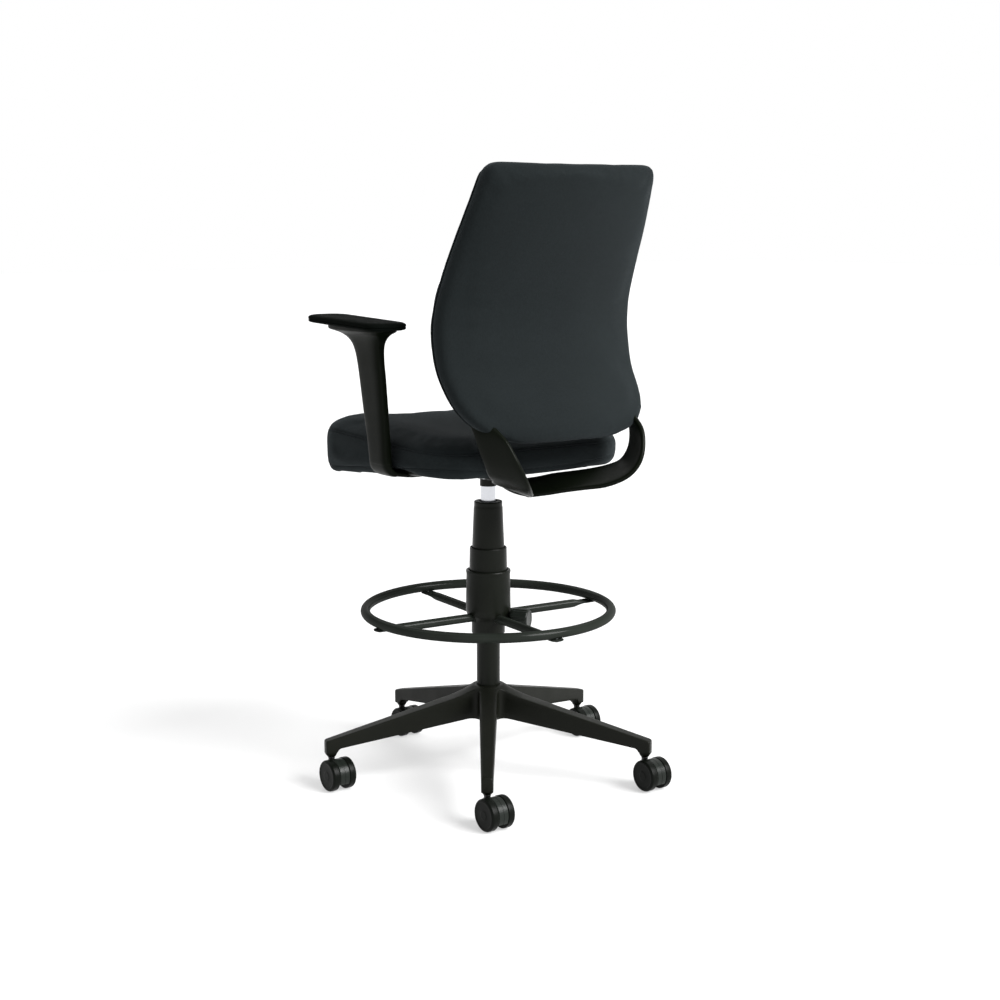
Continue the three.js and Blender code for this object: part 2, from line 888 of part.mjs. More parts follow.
// Crowned cushion whose lower edge wraps down round the rim of the pan.
function seatCushion() {
  const s = SEAT;
  const top = s.cushionTop;
  const k = s.slope;
  const w = s.twist;
  const cushion = loft([
    seatRing(s.wrapInset, s.panTop + 0.4, 0, w),
    seatRing(s.wrapInset, s.panBottom + 4.5, 0, w),
    seatRing(14, s.panBottom + 3.5, 0, w),
    seatRing(9, s.panBottom + 6, 0, w),
    seatRing(4, s.panTop + 3.5, 0, w),
    seatRing(0, s.panTop + 14, k * 0.2, w * 0.8),
    seatRing(0, s.panTop + 34, k * 0.7, w * 0.3),
    seatRing(3, top - 21, k),
    seatRing(11, top - 11, k),
    seatRing(26, top - 4, k),
    seatRing(60, top, k),
    seatRing(110, top - 1, k),
  ]);
  const channel = closed(loft(armFoot(ARM.footClearance)));
  return cut(cushion, channel, mirrored(channel));
}

// ---- arms ---------------------------------------------------------------------------------
// Rounded section of an arm about a point of its line, turned from flat to upright by lean.
function armSection([x, y, z], lean, halfY, halfThick) {
  return barRing(0, y, 0, halfThick, halfY, 0.45).map(([t, v]) => [
    x - t * Math.sin(lean),
    v,
    z + t * Math.cos(lean),
  ]);
}

// Sections of the left foot, from its inner end under the seat round the bend to the post.
function armFoot(grow = 0) {
  const a = ARM;
  const y = (a.footFront + a.footRear) / 2;
  const halfY = (a.footRear - a.footFront) / 2 + grow;
  const thick = a.footThick / 2 + grow;
  const bendX = a.x - a.bendRadius;
  const rings = [
    armSection([a.footInner - grow, y, a.footZ], 0, halfY - 4, thick),
    armSection([a.footInner + 6, y, a.footZ], 0, halfY, thick),
    armSection([a.footFlatTo, y, a.footZ], 0, halfY, thick),
  ];
  const steps = 5;
  for (let i = 0; i <= steps; i++) {
    const t = (i / steps) * 90 * DEG;
    const x = bendX + a.bendRadius * Math.sin(t);
    const z = a.footBendZ + a.bendRadius * (1 - Math.cos(t));
    const halfT = thick + ((a.postHalf + grow - thick) * i) / steps;
    rings.push(armSection([x, y + 1.2 * i, z], t, halfY - 0.4 * i, halfT));
  }
  return rings;
}

// Left arm support: a foot under the seat, a bend, a raked post and a head that flares
// out under the pad.
function armSupport() {
  const a = ARM;
  const level = (z, front, rear, halfX) =>
    armSection([a.x, (front + rear) / 2, z], 90 * DEG, (rear - front) / 2, halfX);
  return loft([
    ...armFoot(),
    level(660, -19, 39, a.postHalf),
    level(710, -31, 34, a.postHalf),
    level(770, -44, 27, a.postHalf),
    level(806, -54, 22, a.postHalf + 0.5),
    level(822, -62, 22, a.postHalf + 2),
    level(833, -74, 26, a.postHalf + 5),
    level(841, -92, 33, a.postHalf + 10),
    level(a.headZ - 3, -112, 40, a.postHalf + 17),
    level(a.headZ, -128, 44, a.postHalf + 20),
  ]);
}

function padRing(inset, z) {
  const a = ARM;
  const half = a.padHalf - inset;
  const front = a.padFront + inset;
  const rear = a.padRear - inset;
  const reach = Math.min(half, 34);
  const count = 24;
  return Array.from({ length: count }, (_, i) => {
    const t = ((i + 0.5) / count) * 2 * Math.PI;
    const x = half * power(Math.cos(t), 0.75);
    const end = Math.sin(t) > 0 ? rear - reach : front + reach;
    const y = end + reach * power(Math.sin(t), 0.75);
    const middle = (a.padFront + a.padRear) / 2;
    return [a.x + x, y, z - a.padSlope * (y - middle)];
  });
}

function armPad() {
  const a = ARM;
  const z = a.headZ + 4.6;
  return loft([
    padRing(14, z),
    padRing(3, z + 1.2),
    padRing(0, z + 3.5),
    padRing(0, z + 10.5),
    padRing(3, z + 13.2),
    padRing(10, z + a.padThick - 0.5),
    padRing(24, z + a.padThick),
  ]);
}

function addArms() {
  const support = closed(armSupport());
  const pad = armPad();
  add("arm_support_left", support, M.plastic);
  add("arm_support_right", mirrored(support), M.plastic);
  add("arm_pad_left", pad, M.plastic);
  add("arm_pad_right", mirrored(pad), M.plastic);
}

// ---- yoke ---------------------------------------------------------------------------------
// One fork of the yoke: a rounded blade that hangs between its rear and front edges.
function fork(grow, from = 0) {
  const rear = YOKE_REAR_EDGE.map((p) => new THREE.Vector3(...p));
  const front = YOKE_FRONT_EDGE.map((p) => new THREE.Vector3(...p));
  const middle = rear.map((p, i) => p.clone().lerp(front[i], 0.5));
  const rings = middle.map((m, i) => {
    const ahead = middle[Math.min(i + 1, middle.length - 1)];
    const behind = middle[Math.max(i - 1, 0)];
    const along = ahead.clone().sub(behind).normalize();
    const across = rear[i].clone().sub(front[i]);
    const half = across.length() / 2 + grow;
    across.normalize();
    const face = along.clone().cross(across).normalize();
    const thin = YOKE.thickness / 2 + grow;
    const count = 14;
    return Array.from({ length: count }, (_, k) => {
      const t = ((k + 0.5) / count) * 2 * Math.PI;
      const p = m
        .clone()
        .addScaledVector(across, half * power(Math.cos(t), 0.55))
        .addScaledVector(face, thin * power(Math.sin(t), 0.75));
      return p.toArray();
    });
  });
  return loft(rings.slice(from));
}

function spine() {
  const m = MECH;
  const turn = (ring) => ring.map(([x, z, y]) => [x, y, z]);
  const bar = loft([
    turn(barRing(0, m.pivotZ, m.pivotY - 5, 20, 8, 0.5, 24)),
    turn(barRing(0, m.pivotZ - 1, m.pivotY + 10, 20, 8.5, 0.5, 24)),
    turn(barRing(0, 566, 74, 22, 10, 0.5, 24)),
    turn(barRing(0, 560.5, 104, 24, 9.5, 0.5, 24)),
    turn(barRing(0, 555, 126, 16, 7, 0.6, 24)),
    turn(barRing(0, 552, 137, 6, 4, 0.8, 24)),
  ]);
  const eye = rod(9.5, -20, 20).rotateY(Math.PI / 2).translate(0, m.pivotY, m.pivotZ);
  return join(bar, eye);
}

function yoke() {
  const m = MECH;
  const left = closed(fork(0));
  const bore = rod(m.pinRadius + 0.3, -40, 40)
    .rotateY(Math.PI / 2)
    .translate(0, m.pivotY, m.pivotZ);
  return cut(join(left, mirrored(left), spine()), bore);
}

// ---- back ---------------------------------------------------------------------------------
// Plan section of the back cushion: a band of even thickness that wraps forward at the sides.
function backRing([z, half, edgeY, thick]) {
  const perFace = 11;
  const perEnd = 3;
  const r = thick / 2;
  const straight = half - r * 0.75;
  const midline = (x) => edgeY + BACK_WRAP * (1 - (x / BACK_WRAP_HALF) ** 2);
  const slope = (x) => (-2 * BACK_WRAP * x) / BACK_WRAP_HALF ** 2;
  const offset = (x, side, along) => {
    const s = slope(x);
    const l = Math.hypot(1, s);
    return [x + (along - side * s) / l, midline(x) + (side + along * s) / l, z];
  };
  const face = (side) =>
    Array.from({ length: perFace }, (_, i) => {
      const x = straight * (1 - (2 * i) / (perFace - 1)) * side;
      return offset(x, side * r, 0);
    });
  const end = (side) =>
    Array.from({ length: perEnd }, (_, i) => {
      const t = ((i + 1) / (perEnd + 1)) * Math.PI;
      return offset(straight * side, -side * r * Math.cos(t), side * r * 0.75 * Math.sin(t));
    });
  return [...face(1), ...end(-1), ...face(-1), ...end(1)];
}

function backCushion() {
  const rows = [];
  BACK_ROWS.forEach((row, i) => {
    rows.push(row);
    const next = BACK_ROWS[i + 1];
    if (!next || next[0] - row[0] < 65) return;
    const z = (row[0] + next[0]) / 2;
    rows.push([z, ...[1, 2, 3].map((column) => between(BACK_ROWS, z, column))]);
  });
  const pad = closed(loft(rows.map(backRing)));
  const pocket = closed(fork(YOKE.pocketClearance, 6));
  return cut(pad, pocket, mirrored(pocket));
}

// ---- the chair ----------------------------------------------------------------------------
add("base_star", baseStar(), M.plastic);
addCasters();
add("column_tube", columnTube(), M.plastic);
add("guide_bush", guideBush(), M.nylon);
add("piston_rod", pistonRod(), M.steel);
add("thrust_bearing", thrustBearing(), M.steel);
add("retaining_clip", retainingClip(), M.steel);
add("gas_cylinder", gasCylinder(), M.chrome);
add("cover_upper", coverUpper(), M.plastic);
add("cover_middle", coverMiddle(), M.plastic);
addFootRing();
add("mech_housing", mechHousing(), M.plastic);
add("yoke_pin", yokePin(), M.steel);
add("height_lever", heightLever(), M.plastic);
add("seat_pan", seatPan(), M.plastic);
add("seat_cushion", seatCushion(), M.fabric);
addArms();
add("yoke", yoke(), M.plastic);
add("back_cushion", backCushion(), M.fabric);
chair.position.y = PLAN_SHIFT;

export default chair;
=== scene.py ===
import bpy
import bmesh
import math
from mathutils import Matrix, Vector
from mathutils.bvhtree import BVHTree


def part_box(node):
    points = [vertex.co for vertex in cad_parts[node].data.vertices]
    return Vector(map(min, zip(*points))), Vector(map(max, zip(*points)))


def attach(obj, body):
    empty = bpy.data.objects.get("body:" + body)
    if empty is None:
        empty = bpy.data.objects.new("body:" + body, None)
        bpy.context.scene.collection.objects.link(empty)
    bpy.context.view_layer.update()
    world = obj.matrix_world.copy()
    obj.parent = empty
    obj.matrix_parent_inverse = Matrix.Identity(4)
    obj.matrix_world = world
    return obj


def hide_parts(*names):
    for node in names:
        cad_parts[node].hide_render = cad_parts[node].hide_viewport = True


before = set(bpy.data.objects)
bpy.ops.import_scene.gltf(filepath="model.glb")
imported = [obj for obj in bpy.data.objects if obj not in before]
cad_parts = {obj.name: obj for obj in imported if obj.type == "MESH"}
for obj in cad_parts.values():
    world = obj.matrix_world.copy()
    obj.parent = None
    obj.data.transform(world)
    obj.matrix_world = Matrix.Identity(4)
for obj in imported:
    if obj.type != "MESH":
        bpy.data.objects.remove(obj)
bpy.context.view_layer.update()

MM = 0.001
SCENE = bpy.context.scene

_tube_low, _tube_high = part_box("column_tube")
AXIS = (_tube_low + _tube_high) / 2
AXIS_X = AXIS.x / MM
AXIS_Y = AXIS.y / MM


# ---- camera, light and floor ----
VIEW_TURN = math.radians(144)
VIEW_PITCH = 0.1629
VIEW_REACH = 3.1341
VIEW_HEIGHT = 1.0391
VIEW_ASIDE = 0.0221
LENS, SENSOR = 61.2, 36

away = Vector((math.sin(VIEW_TURN), -math.cos(VIEW_TURN), 0))
aside = Vector((math.cos(VIEW_TURN), math.sin(VIEW_TURN), 0))
up = Vector((0, 0, 1))
column_foot = Vector((AXIS.x, AXIS.y, 0))

camera_data = bpy.data.cameras.new("camera")
camera_data.lens = LENS
camera_data.sensor_width = SENSOR
camera = bpy.data.objects.new("camera", camera_data)
camera.location = column_foot + away * VIEW_REACH + aside * VIEW_ASIDE + up * VIEW_HEIGHT
look = -away * math.cos(VIEW_PITCH) - up * math.sin(VIEW_PITCH)
camera.rotation_mode = "QUATERNION"
camera.rotation_quaternion = look.to_track_quat("-Z", "Y")
SCENE.collection.objects.link(camera)
SCENE.camera = camera
SCENE.view_settings.view_transform = "Standard"


def sun(name, direction, strength, softness):
    """Even studio light from a direction; softness is the angle that the source spans."""
    data = bpy.data.lights.new(name, "SUN")
    data.energy = strength
    data.angle = math.radians(softness)
    light = bpy.data.objects.new(name, data)
    light.rotation_mode = "QUATERNION"
    light.rotation_quaternion = (-direction).to_track_quat("-Z", "Y")
    SCENE.collection.objects.link(light)


sun("key", away * 0.5 + aside * 0.9 + up * 0.8, 6.4, 34)
sun("top", -away * 0.45 - aside * 0.05 + up, 1.5, 80)

# A white surround near the horizon that dims towards the ceiling.
world = bpy.data.worlds.new("studio")
world.use_nodes = True
sky = world.node_tree.nodes["Background"]
aim = world.node_tree.nodes.new("ShaderNodeTexCoord")
height = world.node_tree.nodes.new("ShaderNodeSeparateXYZ")
dim = world.node_tree.nodes.new("ShaderNodeMapRange")
dim.interpolation_type = "SMOOTHSTEP"
for socket, value in (("From Min", 0.15), ("From Max", 0.55), ("To Min", 1.0), ("To Max", 0.22)):
    dim.inputs[socket].default_value = value
world.node_tree.links.new(aim.outputs["Generated"], height.inputs[0])
world.node_tree.links.new(height.outputs["Z"], dim.inputs["Value"])
world.node_tree.links.new(dim.outputs[0], sky.inputs[1])
sky.inputs[0].default_value = (1, 1, 1, 1)
SCENE.world = world


# ---- materials ----
class Shader:
    """A Principled material with helpers for the procedural nodes that feed it."""

    def __init__(self, name, rough, metallic=0.0, specular=0.5, **extra):
        self.material = bpy.data.materials.new(name)
        self.material.use_nodes = True
        self.tree = self.material.node_tree
        self.bsdf = self.tree.nodes["Principled BSDF"]
        self.set("Roughness", rough)
        self.set("Metallic", metallic)
        self.set("Specular IOR Level", specular)
        for key, value in extra.items():
            self.set(key.replace("_", " "), value)
        self.coords = self.tree.nodes.new("ShaderNodeTexCoord").outputs["Object"]

    def set(self, socket, value):
        self.bsdf.inputs[socket].default_value = value

    def link(self, output, socket):
        self.tree.links.new(output, socket)

    def feed(self, socket, output):
        self.link(output, self.bsdf.inputs[socket])

    def math(self, operation, a, b=None):
        node = self.tree.nodes.new("ShaderNodeMath")
        node.operation = operation
        for i, value in enumerate((a, b)):
            if value is None:
                continue
            if isinstance(value, (int, float)):
                node.inputs[i].default_value = value
            else:
                self.link(value, node.inputs[i])
        return node.outputs[0]

    def plus(self, a, b):
        return self.math("ADD", a, b)

    def times(self, a, b):
        return self.math("MULTIPLY", a, b)

    def noise(self, scale, detail=3.0, rough=0.55, stretch=None):
        node = self.tree.nodes.new("ShaderNodeTexNoise")
        node.inputs["Scale"].default_value = scale
        node.inputs["Detail"].default_value = detail
        node.inputs["Roughness"].default_value = rough
        if stretch:
            mapping = self.tree.nodes.new("ShaderNodeMapping")
            mapping.inputs["Scale"].default_value = stretch
            self.link(self.coords, mapping.inputs[0])
            self.link(mapping.outputs[0], node.inputs["Vector"])
        else:
            self.link(self.coords, node.inputs["Vector"])
        return node.outputs["Fac"]

    def cells(self, scale, feature="F1"):
        node = self.tree.nodes.new("ShaderNodeTexVoronoi")
        node.feature = feature
        node.inputs["Scale"].default_value = scale
        self.link(self.coords, node.inputs["Vector"])
        return node.outputs["Distance"]

    def ramp(self, value, stops):
        node = self.tree.nodes.new("ShaderNodeValToRGB")
        ramp = node.color_ramp
        while len(ramp.elements) < len(stops):
            ramp.elements.new(0.5)
        for element, (at, colour) in zip(ramp.elements, stops):
            element.position = at
            element.color = (*colour, 1)
        self.link(value, node.inputs[0])
        return node.outputs[0]

    def range(self, value, low, high, new_low, new_high):
        node = self.tree.nodes.new("ShaderNodeMapRange")
        node.inputs["From Min"].default_value = low
        node.inputs["From Max"].default_value = high
        node.inputs["To Min"].default_value = new_low
        node.inputs["To Max"].default_value = new_high
        self.link(value, node.inputs["Value"])
        return node.outputs[0]

    def bump(self, height, distance, strength=1.0, below=None):
        node = self.tree.nodes.new("ShaderNodeBump")
        node.inputs["Distance"].default_value = distance
        node.inputs["Strength"].default_value = strength
        self.link(height, node.inputs["Height"])
        if below is not None:
            self.link(below, node.inputs["Normal"])
        self.feed("Normal", node.outputs[0])
        return node.outputs[0]

    def worn(self, amount):
        """Rises to an amount on convex edges. Pointiness is near 0.5 on flats."""
        edges = self.tree.nodes.new("ShaderNodeNewGeometry").outputs["Pointiness"]
        return self.range(edges, 0.53, 0.62, 0.0, amount)


def tint(colour, factor):
    return tuple(min(1.0, c * factor) for c in colour)


def moulded(name, colour, rough=0.42, specular=0.32, grain=1500.0, depth=0.00006):
    """Moulded plastic: a fine spark-eroded grain, slight mottling, and worn, paler edges."""
    s = Shader(name, rough, specular=specular)
    tone = s.plus(s.times(s.noise(9.0, 4.0), 0.55), s.worn(0.35))
    stops = [(0.15, tint(colour, 0.86)), (0.45, tint(colour, 1.12)), (0.85, tint(colour, 1.7))]
    s.feed("Base Color", s.ramp(tone, stops))
    s.feed("Roughness", s.range(s.noise(26.0, 5.0), 0.3, 0.7, rough - 0.05, rough + 0.07))
    wavy = s.bump(s.noise(14.0, 2.0), 0.0006, 0.25)
    s.bump(s.cells(grain), depth, 0.7, wavy)
    return s.material


def weave(name, colour, pitch=0.0014):
    """Woven upholstery cloth: crossing threads, slubs, soft colour variation and a sheen."""
    s = Shader(name, 0.93, specular=0.08)
    s.set("Sheen Weight", 0.07)
    s.set("Sheen Roughness", 0.45)
    s.set("Sheen Tint", (0.62, 0.72, 0.78, 1))
    split = s.tree.nodes.new("ShaderNodeSeparateXYZ")
    s.link(s.coords, split.inputs[0])
    face = s.tree.nodes.new("ShaderNodeSeparateXYZ")
    s.link(s.tree.nodes.new("ShaderNodeTexCoord").outputs["Normal"], face.inputs[0])
    x, y, z = split.outputs

    def threads(a, b):
        u = s.math("SINE", s.times(a, 2 * math.pi / pitch))
        v = s.math("SINE", s.times(b, 2 * math.pi / pitch))
        return s.plus(s.times(s.times(u, v), 0.5), 0.5)

    weights = [s.math("POWER", s.math("ABSOLUTE", axis), 3.0) for axis in face.outputs]
    total = s.plus(s.plus(weights[0], weights[1]), s.plus(weights[2], 0.001))
    sides = [threads(y, z), threads(x, z), threads(x, y)]
    mixed = None
    for side, weight in zip(sides, weights):
        part = s.times(side, s.math("DIVIDE", weight, total))
        mixed = part if mixed is None else s.plus(mixed, part)
    slub = s.noise(420.0, 3.0, 0.6, (1.0, 1.0, 0.35))
    cloudy = s.noise(5.0, 3.0)
    tone = s.plus(s.times(slub, 0.45), s.times(cloudy, 0.35))
    tone = s.plus(tone, s.times(mixed, 0.2))
    stops = [(0.25, tint(colour, 0.72)), (0.5, colour), (0.78, tint(colour, 1.42))]
    s.feed("Base Color", s.ramp(tone, stops))
    soft = s.bump(s.noise(38.0, 3.0), 0.0008, 0.35)
    s.bump(s.plus(mixed, s.times(slub, 0.6)), 0.00028, 0.8, soft)
    return s.material


def enamelled(name, colour):
    """Powder-coated steel: an orange-peel skin and a soft gloss."""
    s = Shader(name, 0.3, specular=0.0)
    s.set("Coat Weight", 0.12)
    s.set("Coat Roughness", 0.18)
    tone = s.plus(s.times(s.noise(16.0, 4.0), 0.7), s.worn(0.25))
    stops = [(0.2, tint(colour, 0.85)), (0.8, tint(colour, 1.4))]
    s.feed("Base Color", s.ramp(tone, stops))
    s.feed("Roughness", s.range(s.noise(60.0, 3.0), 0.3, 0.7, 0.26, 0.38))
    s.bump(s.cells(900.0, "SMOOTH_F1"), 0.00008, 0.5)
    return s.material


def metal(name, colour, rough, brushed=False):
    """Polished or zinc-plated steel, with faint turning marks."""
    s = Shader(name, rough, metallic=1.0)
    marks = s.noise(900.0, 2.0, 0.5, (0.05, 0.05, 1.0)) if brushed else s.noise(120.0, 4.0)
    s.feed("Base Color", s.ramp(marks, [(0.2, tint(colour, 0.92)), (0.8, colour)]))
    s.feed("Roughness", s.range(marks, 0.2, 0.8, rough * 0.75, rough * 1.3))
    s.bump(marks, 0.00002, 0.3)
    return s.material


PLASTIC = moulded("moulded_nylon", (0.0042, 0.0048, 0.0030), specular=0.12)
# The arms take a darker copy of the moulded nylon: painted shade for their upright faces, which get less
# light than the base.
ARM_PLASTIC_PAINTED_SHADE = moulded("arm_nylon_painted_shade", (0.0018, 0.0028, 0.0012), rough=0.38, specular=0.05)
# The yoke takes its own copy of the moulded nylon, with light and shade painted into its colour: darker
# than the base's copy (painted shade), yet lighter than the arms' copy to make up for the fork's faces
# that turn away from the key light (painted light).
YOKE_PLASTIC_PAINTED_SHADE_AND_LIGHT = moulded("yoke_nylon_painted_shade_and_light", (0.0030, 0.0041, 0.0023), rough=0.34, specular=0.06)
COLUMN_PLASTIC = moulded("column_plastic", (0.0042, 0.0052, 0.0034), rough=0.36, specular=0.12)
CASTER_PLASTIC = moulded("caster_nylon", (0.0024, 0.0032, 0.0023), rough=0.34, specular=0.07, grain=1900.0)
# The hoods take a lighter copy of the caster nylon: painted light for the hood's band, which catches the
# key light. The clamp knob takes this lighter copy too.
HOOD_PLASTIC_PAINTED_LIGHT = moulded("hood_nylon_painted_light", (0.0075, 0.0096, 0.0078), rough=0.3, specular=0.16, grain=1900.0)
PAD_SKIN = moulded("armrest_skin", (0.0026, 0.0034, 0.0028), rough=0.6, specular=0.005,
                   grain=1100.0, depth=0.0001)
INNER_NYLON = moulded("guide_nylon", (0.16, 0.16, 0.15), rough=0.45)
CLOTH = weave("charcoal_cloth", (0.0080, 0.0104, 0.0110))
PIPING = weave("charcoal_piping", (0.0070, 0.0090, 0.0096), pitch=0.0011)
ENAMEL = enamelled("black_enamel", (0.0142, 0.0168, 0.0140))
CHROME = metal("polished_chrome", (0.60, 0.61, 0.64), 0.2)
STEEL = metal("zinc_steel", (0.42, 0.43, 0.44), 0.32, brushed=True)
# A near-black steel colour, far darker than the other steel, used for the caster stems.
DARK_STEEL = metal("dark_stem_steel", (0.06, 0.06, 0.06), 0.4)


# ---- mesh helpers ----
MERGE_REACH = 0.00001
SMOOTH_ALL = 180


def power(value, exponent):
    return math.copysign(abs(value) ** exponent, value)


def placed(x, y, z):
    """A point in mm about the column axis, as a vector in metres in the shared frame."""
    return Vector(((x + AXIS_X) * MM, (y + AXIS_Y) * MM, z * MM))


def about_axis(point):
    """The way back: (x, y, z) in mm about the column axis."""
    return point.x / MM - AXIS_X, point.y / MM - AXIS_Y, point.z / MM


def ramped(value, start, end):
    """0 at the start, 1 at the end and level beyond them. The end may be below the start."""
    return max(0.0, min(1.0, (value - start) / (end - start)))


def smooth(share):
    return share * share * (3 - 2 * share)


def mesh_of(name, pieces, sharp):
    """One object from [(points in mm about the column axis, faces), ...]."""
    points, faces = [], []
    for some, more in pieces:
        base = len(points)
        points += [((x + AXIS_X) * MM, (y + AXIS_Y) * MM, z * MM) for x, y, z in some]
        faces += [[base + i for i in face] for face in more]
    mesh = bpy.data.meshes.new(name)
    mesh.from_pydata(points, [], faces)
    work = bmesh.new()
    work.from_mesh(mesh)
    bmesh.ops.remove_doubles(work, verts=work.verts, dist=MERGE_REACH)
    bmesh.ops.recalc_face_normals(work, faces=work.faces)
    work.to_mesh(mesh)
    work.free()
    ob = bpy.data.objects.new(name, mesh)
    SCENE.collection.objects.link(ob)
    shade(ob, sharp)
    return ob


def shade(ob, sharp):
    ob.data.shade_smooth()
    ob.data.set_sharp_from_angle(angle=math.radians(sharp))


def finish(ob, body, material, slot, *nodes):
    """Gives a piece its material and body, and hides the nodes that it replaces. The slot is not used."""
    ob.data.materials.clear()
    ob.data.materials.append(material)
    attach(ob, body)
    if nodes:
        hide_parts(*nodes)


def apply_modifiers(ob):
    graph = bpy.context.evaluated_depsgraph_get()
    made = bpy.data.meshes.new_from_object(ob.evaluated_get(graph))
    ob.modifiers.clear()
    old = ob.data
    ob.data = made
    bpy.data.meshes.remove(old)


def remeshed(ob, voxel):
    """Makes overlapping solids one skin of even squares. The voxel size is in metres."""
    remesh = ob.modifiers.new("grid", "REMESH")
    remesh.mode = "VOXEL"
    remesh.voxel_size = voxel


def softened(ob, rounds):
    soften = ob.modifiers.new("soften", "SMOOTH")
    soften.factor = 0.5
    soften.iterations = rounds


def filleted(profile, radius=1.0, steps=3, loop=False):
    """Rounds the corners of a profile by up to radius. Points may state their own radius."""
    count = len(profile)
    out = []
    for i, point in enumerate(profile):
        here = Vector(point[:2])
        r = point[2] if len(point) > 2 else radius
        if not loop and i in (0, count - 1) or r <= 0:
            out.append(tuple(here))
            continue
        before = Vector(profile[i - 1][:2])
        after = Vector(profile[(i + 1) % count][:2])
        a, b = before - here, after - here
        reach = min(r, a.length * 0.45, b.length * 0.45)
        start, end = here + a.normalized() * reach, here + b.normalized() * reach
        for k in range(steps + 1):
            t = k / steps
            out.append(tuple(start * (1 - t) ** 2 + here * (2 * t * (1 - t)) + end * t * t))
    return out


def turned(profile, sides, loop=False, about="Z", at=(0, 0, 0)):
    """Surface of revolution from (radius, height) points; loop joins the last to the first."""
    points, faces, rows = [], [], []
    for r, h in profile:
        if r == 0:
            rows.append([len(points)])
            points.append((0, 0, h))
            continue
        rows.append(list(range(len(points), len(points) + sides)))
        points += [(r * math.cos(t), r * math.sin(t), h) for t in circle(sides)]
    pairs = list(zip(rows, rows[1:])) + ([(rows[-1], rows[0])] if loop else [])
    for a, b in pairs:
        for i in range(sides):
            j = (i + 1) % sides
            if len(a) == 1:
                faces.append([a[0], b[j], b[i]])
            elif len(b) == 1:
                faces.append([a[i], a[j], b[0]])
            else:
                faces.append([a[i], a[j], b[j], b[i]])
    if about == "X":
        points = [(h, x, y) for x, y, h in points]
    return [(x + at[0], y + at[1], z + at[2]) for x, y, z in points], faces


def loft(rings, capped=True):
    """A skin over rings of equal point counts, with flat ends when capped."""
    count = len(rings[0])
    points = [tuple(p) for ring in rings for p in ring]
    faces = []
    for k in range(len(rings) - 1):
        for i in range(count):
            j = (i + 1) % count
            faces.append([k * count + i, k * count + j, (k + 1) * count + j, (k + 1) * count + i])
    if capped:
        faces.append(list(range(count))[::-1])
        faces.append([(len(rings) - 1) * count + i for i in range(count)])
    return points, faces


def mirrored(piece):
    points, faces = piece
    return [(-x, y, z) for x, y, z in points], [face[::-1] for face in faces]


def circle(count):
    return [2 * math.pi * i / count for i in range(count)]


def on_side(side, piece):
    return piece if side == "left" else mirrored(piece)


def half_turns(count):
    """Even angles round a circle, set off by half a step."""
    return [2 * math.pi * (i + 0.5) / count for i in range(count)]


def squared_oval(half_a, half_b, square, count):
    """Points round an oval: square is 1 for an ellipse and falls towards 0 for a rectangle."""
    return [(half_a * power(math.cos(t), square), half_b * power(math.sin(t), square))
            for t in half_turns(count)]


def smooth_rows(rows, steps):
    """Catmull-Rom through rows of equal-length number lists."""
    out = []
    last = len(rows) - 1
    for k in range(last):
        p0, p1, p2, p3 = rows[max(0, k - 1)], rows[k], rows[k + 1], rows[min(last, k + 2)]
        for s in range(steps):
            t = s / steps
            out.append([
                0.5 * (2 * b + (c - a) * t + (2 * a - 5 * b + 4 * c - d) * t * t
                       + (3 * b - a - 3 * c + d) * t ** 3)
                for a, b, c, d in zip(p0, p1, p2, p3)
            ])
    return out + [list(rows[-1])]


def smooth_rings(rings, steps):
    """Catmull-Rom through rings of equal point counts."""
    flat = [[value for point in ring for value in point] for ring in rings]
    rows = smooth_rows(flat, steps)
    return [[tuple(row[i:i + 3]) for i in range(0, len(row), 3)] for row in rows]


def lerp_table(rows, at):
    """The value at a place in a table of (place, value), level beyond its ends."""
    for (x0, y0), (x1, y1) in zip(rows, rows[1:]):
        if at <= x1:
            return y0 + (y1 - y0) * max(0.0, (at - x0) / (x1 - x0))
    return rows[-1][1]


def outward(points, angle, z):
    """Turns points made along +X so that they run outwards at an angle, at a height."""
    c, s = math.cos(angle), math.sin(angle)
    return [(x * c - y * s, x * s + y * c, h + z) for x, y, h in points]


def cord_loop(path, radius, sides):
    """A closed round cord along a closed path."""
    count = len(path)
    points = [Vector(p) for p in path]
    rings = []
    for i, p in enumerate(points):
        along = (points[(i + 1) % count] - points[i - 1]).normalized()
        side = along.cross(Vector((0, 0, 1)))
        side = side.normalized() if side.length > 0.05 else Vector((0, 1, 0))
        lift = side.cross(along)
        rings.append([tuple(p + side * radius * math.cos(t) + lift * radius * math.sin(t))
                      for t in circle(sides)])
    verts, faces = loft(rings, capped=False)
    last = (count - 1) * sides
    for i in range(sides):
        j = (i + 1) % sides
        faces.append([last + i, last + j, j, i])
    return verts, faces


# ---- floor ----
FLOOR_REACH = 30.0
FLOOR_SIGNS = ((-1, -1), (1, -1), (1, 1), (-1, 1))

floor_mesh = bpy.data.meshes.new("floor")
floor_mesh.from_pydata(
    [(FLOOR_REACH * x, FLOOR_REACH * y, 0) for x, y in FLOOR_SIGNS], [], [(0, 1, 2, 3)])
floor = bpy.data.objects.new("floor", floor_mesh)
SCENE.collection.objects.link(floor)
paper = Shader("studio_floor", 0.9, specular=0.0)
paper.feed("Base Color", paper.ramp(paper.noise(0.8, 2.0), [(0.2, (0.39,) * 3), (0.8, (0.41,) * 3)]))
paper.set("Emission Color", (1, 1, 1, 1))
paper.set("Emission Strength", 0.48)
floor.data.materials.append(paper.material)


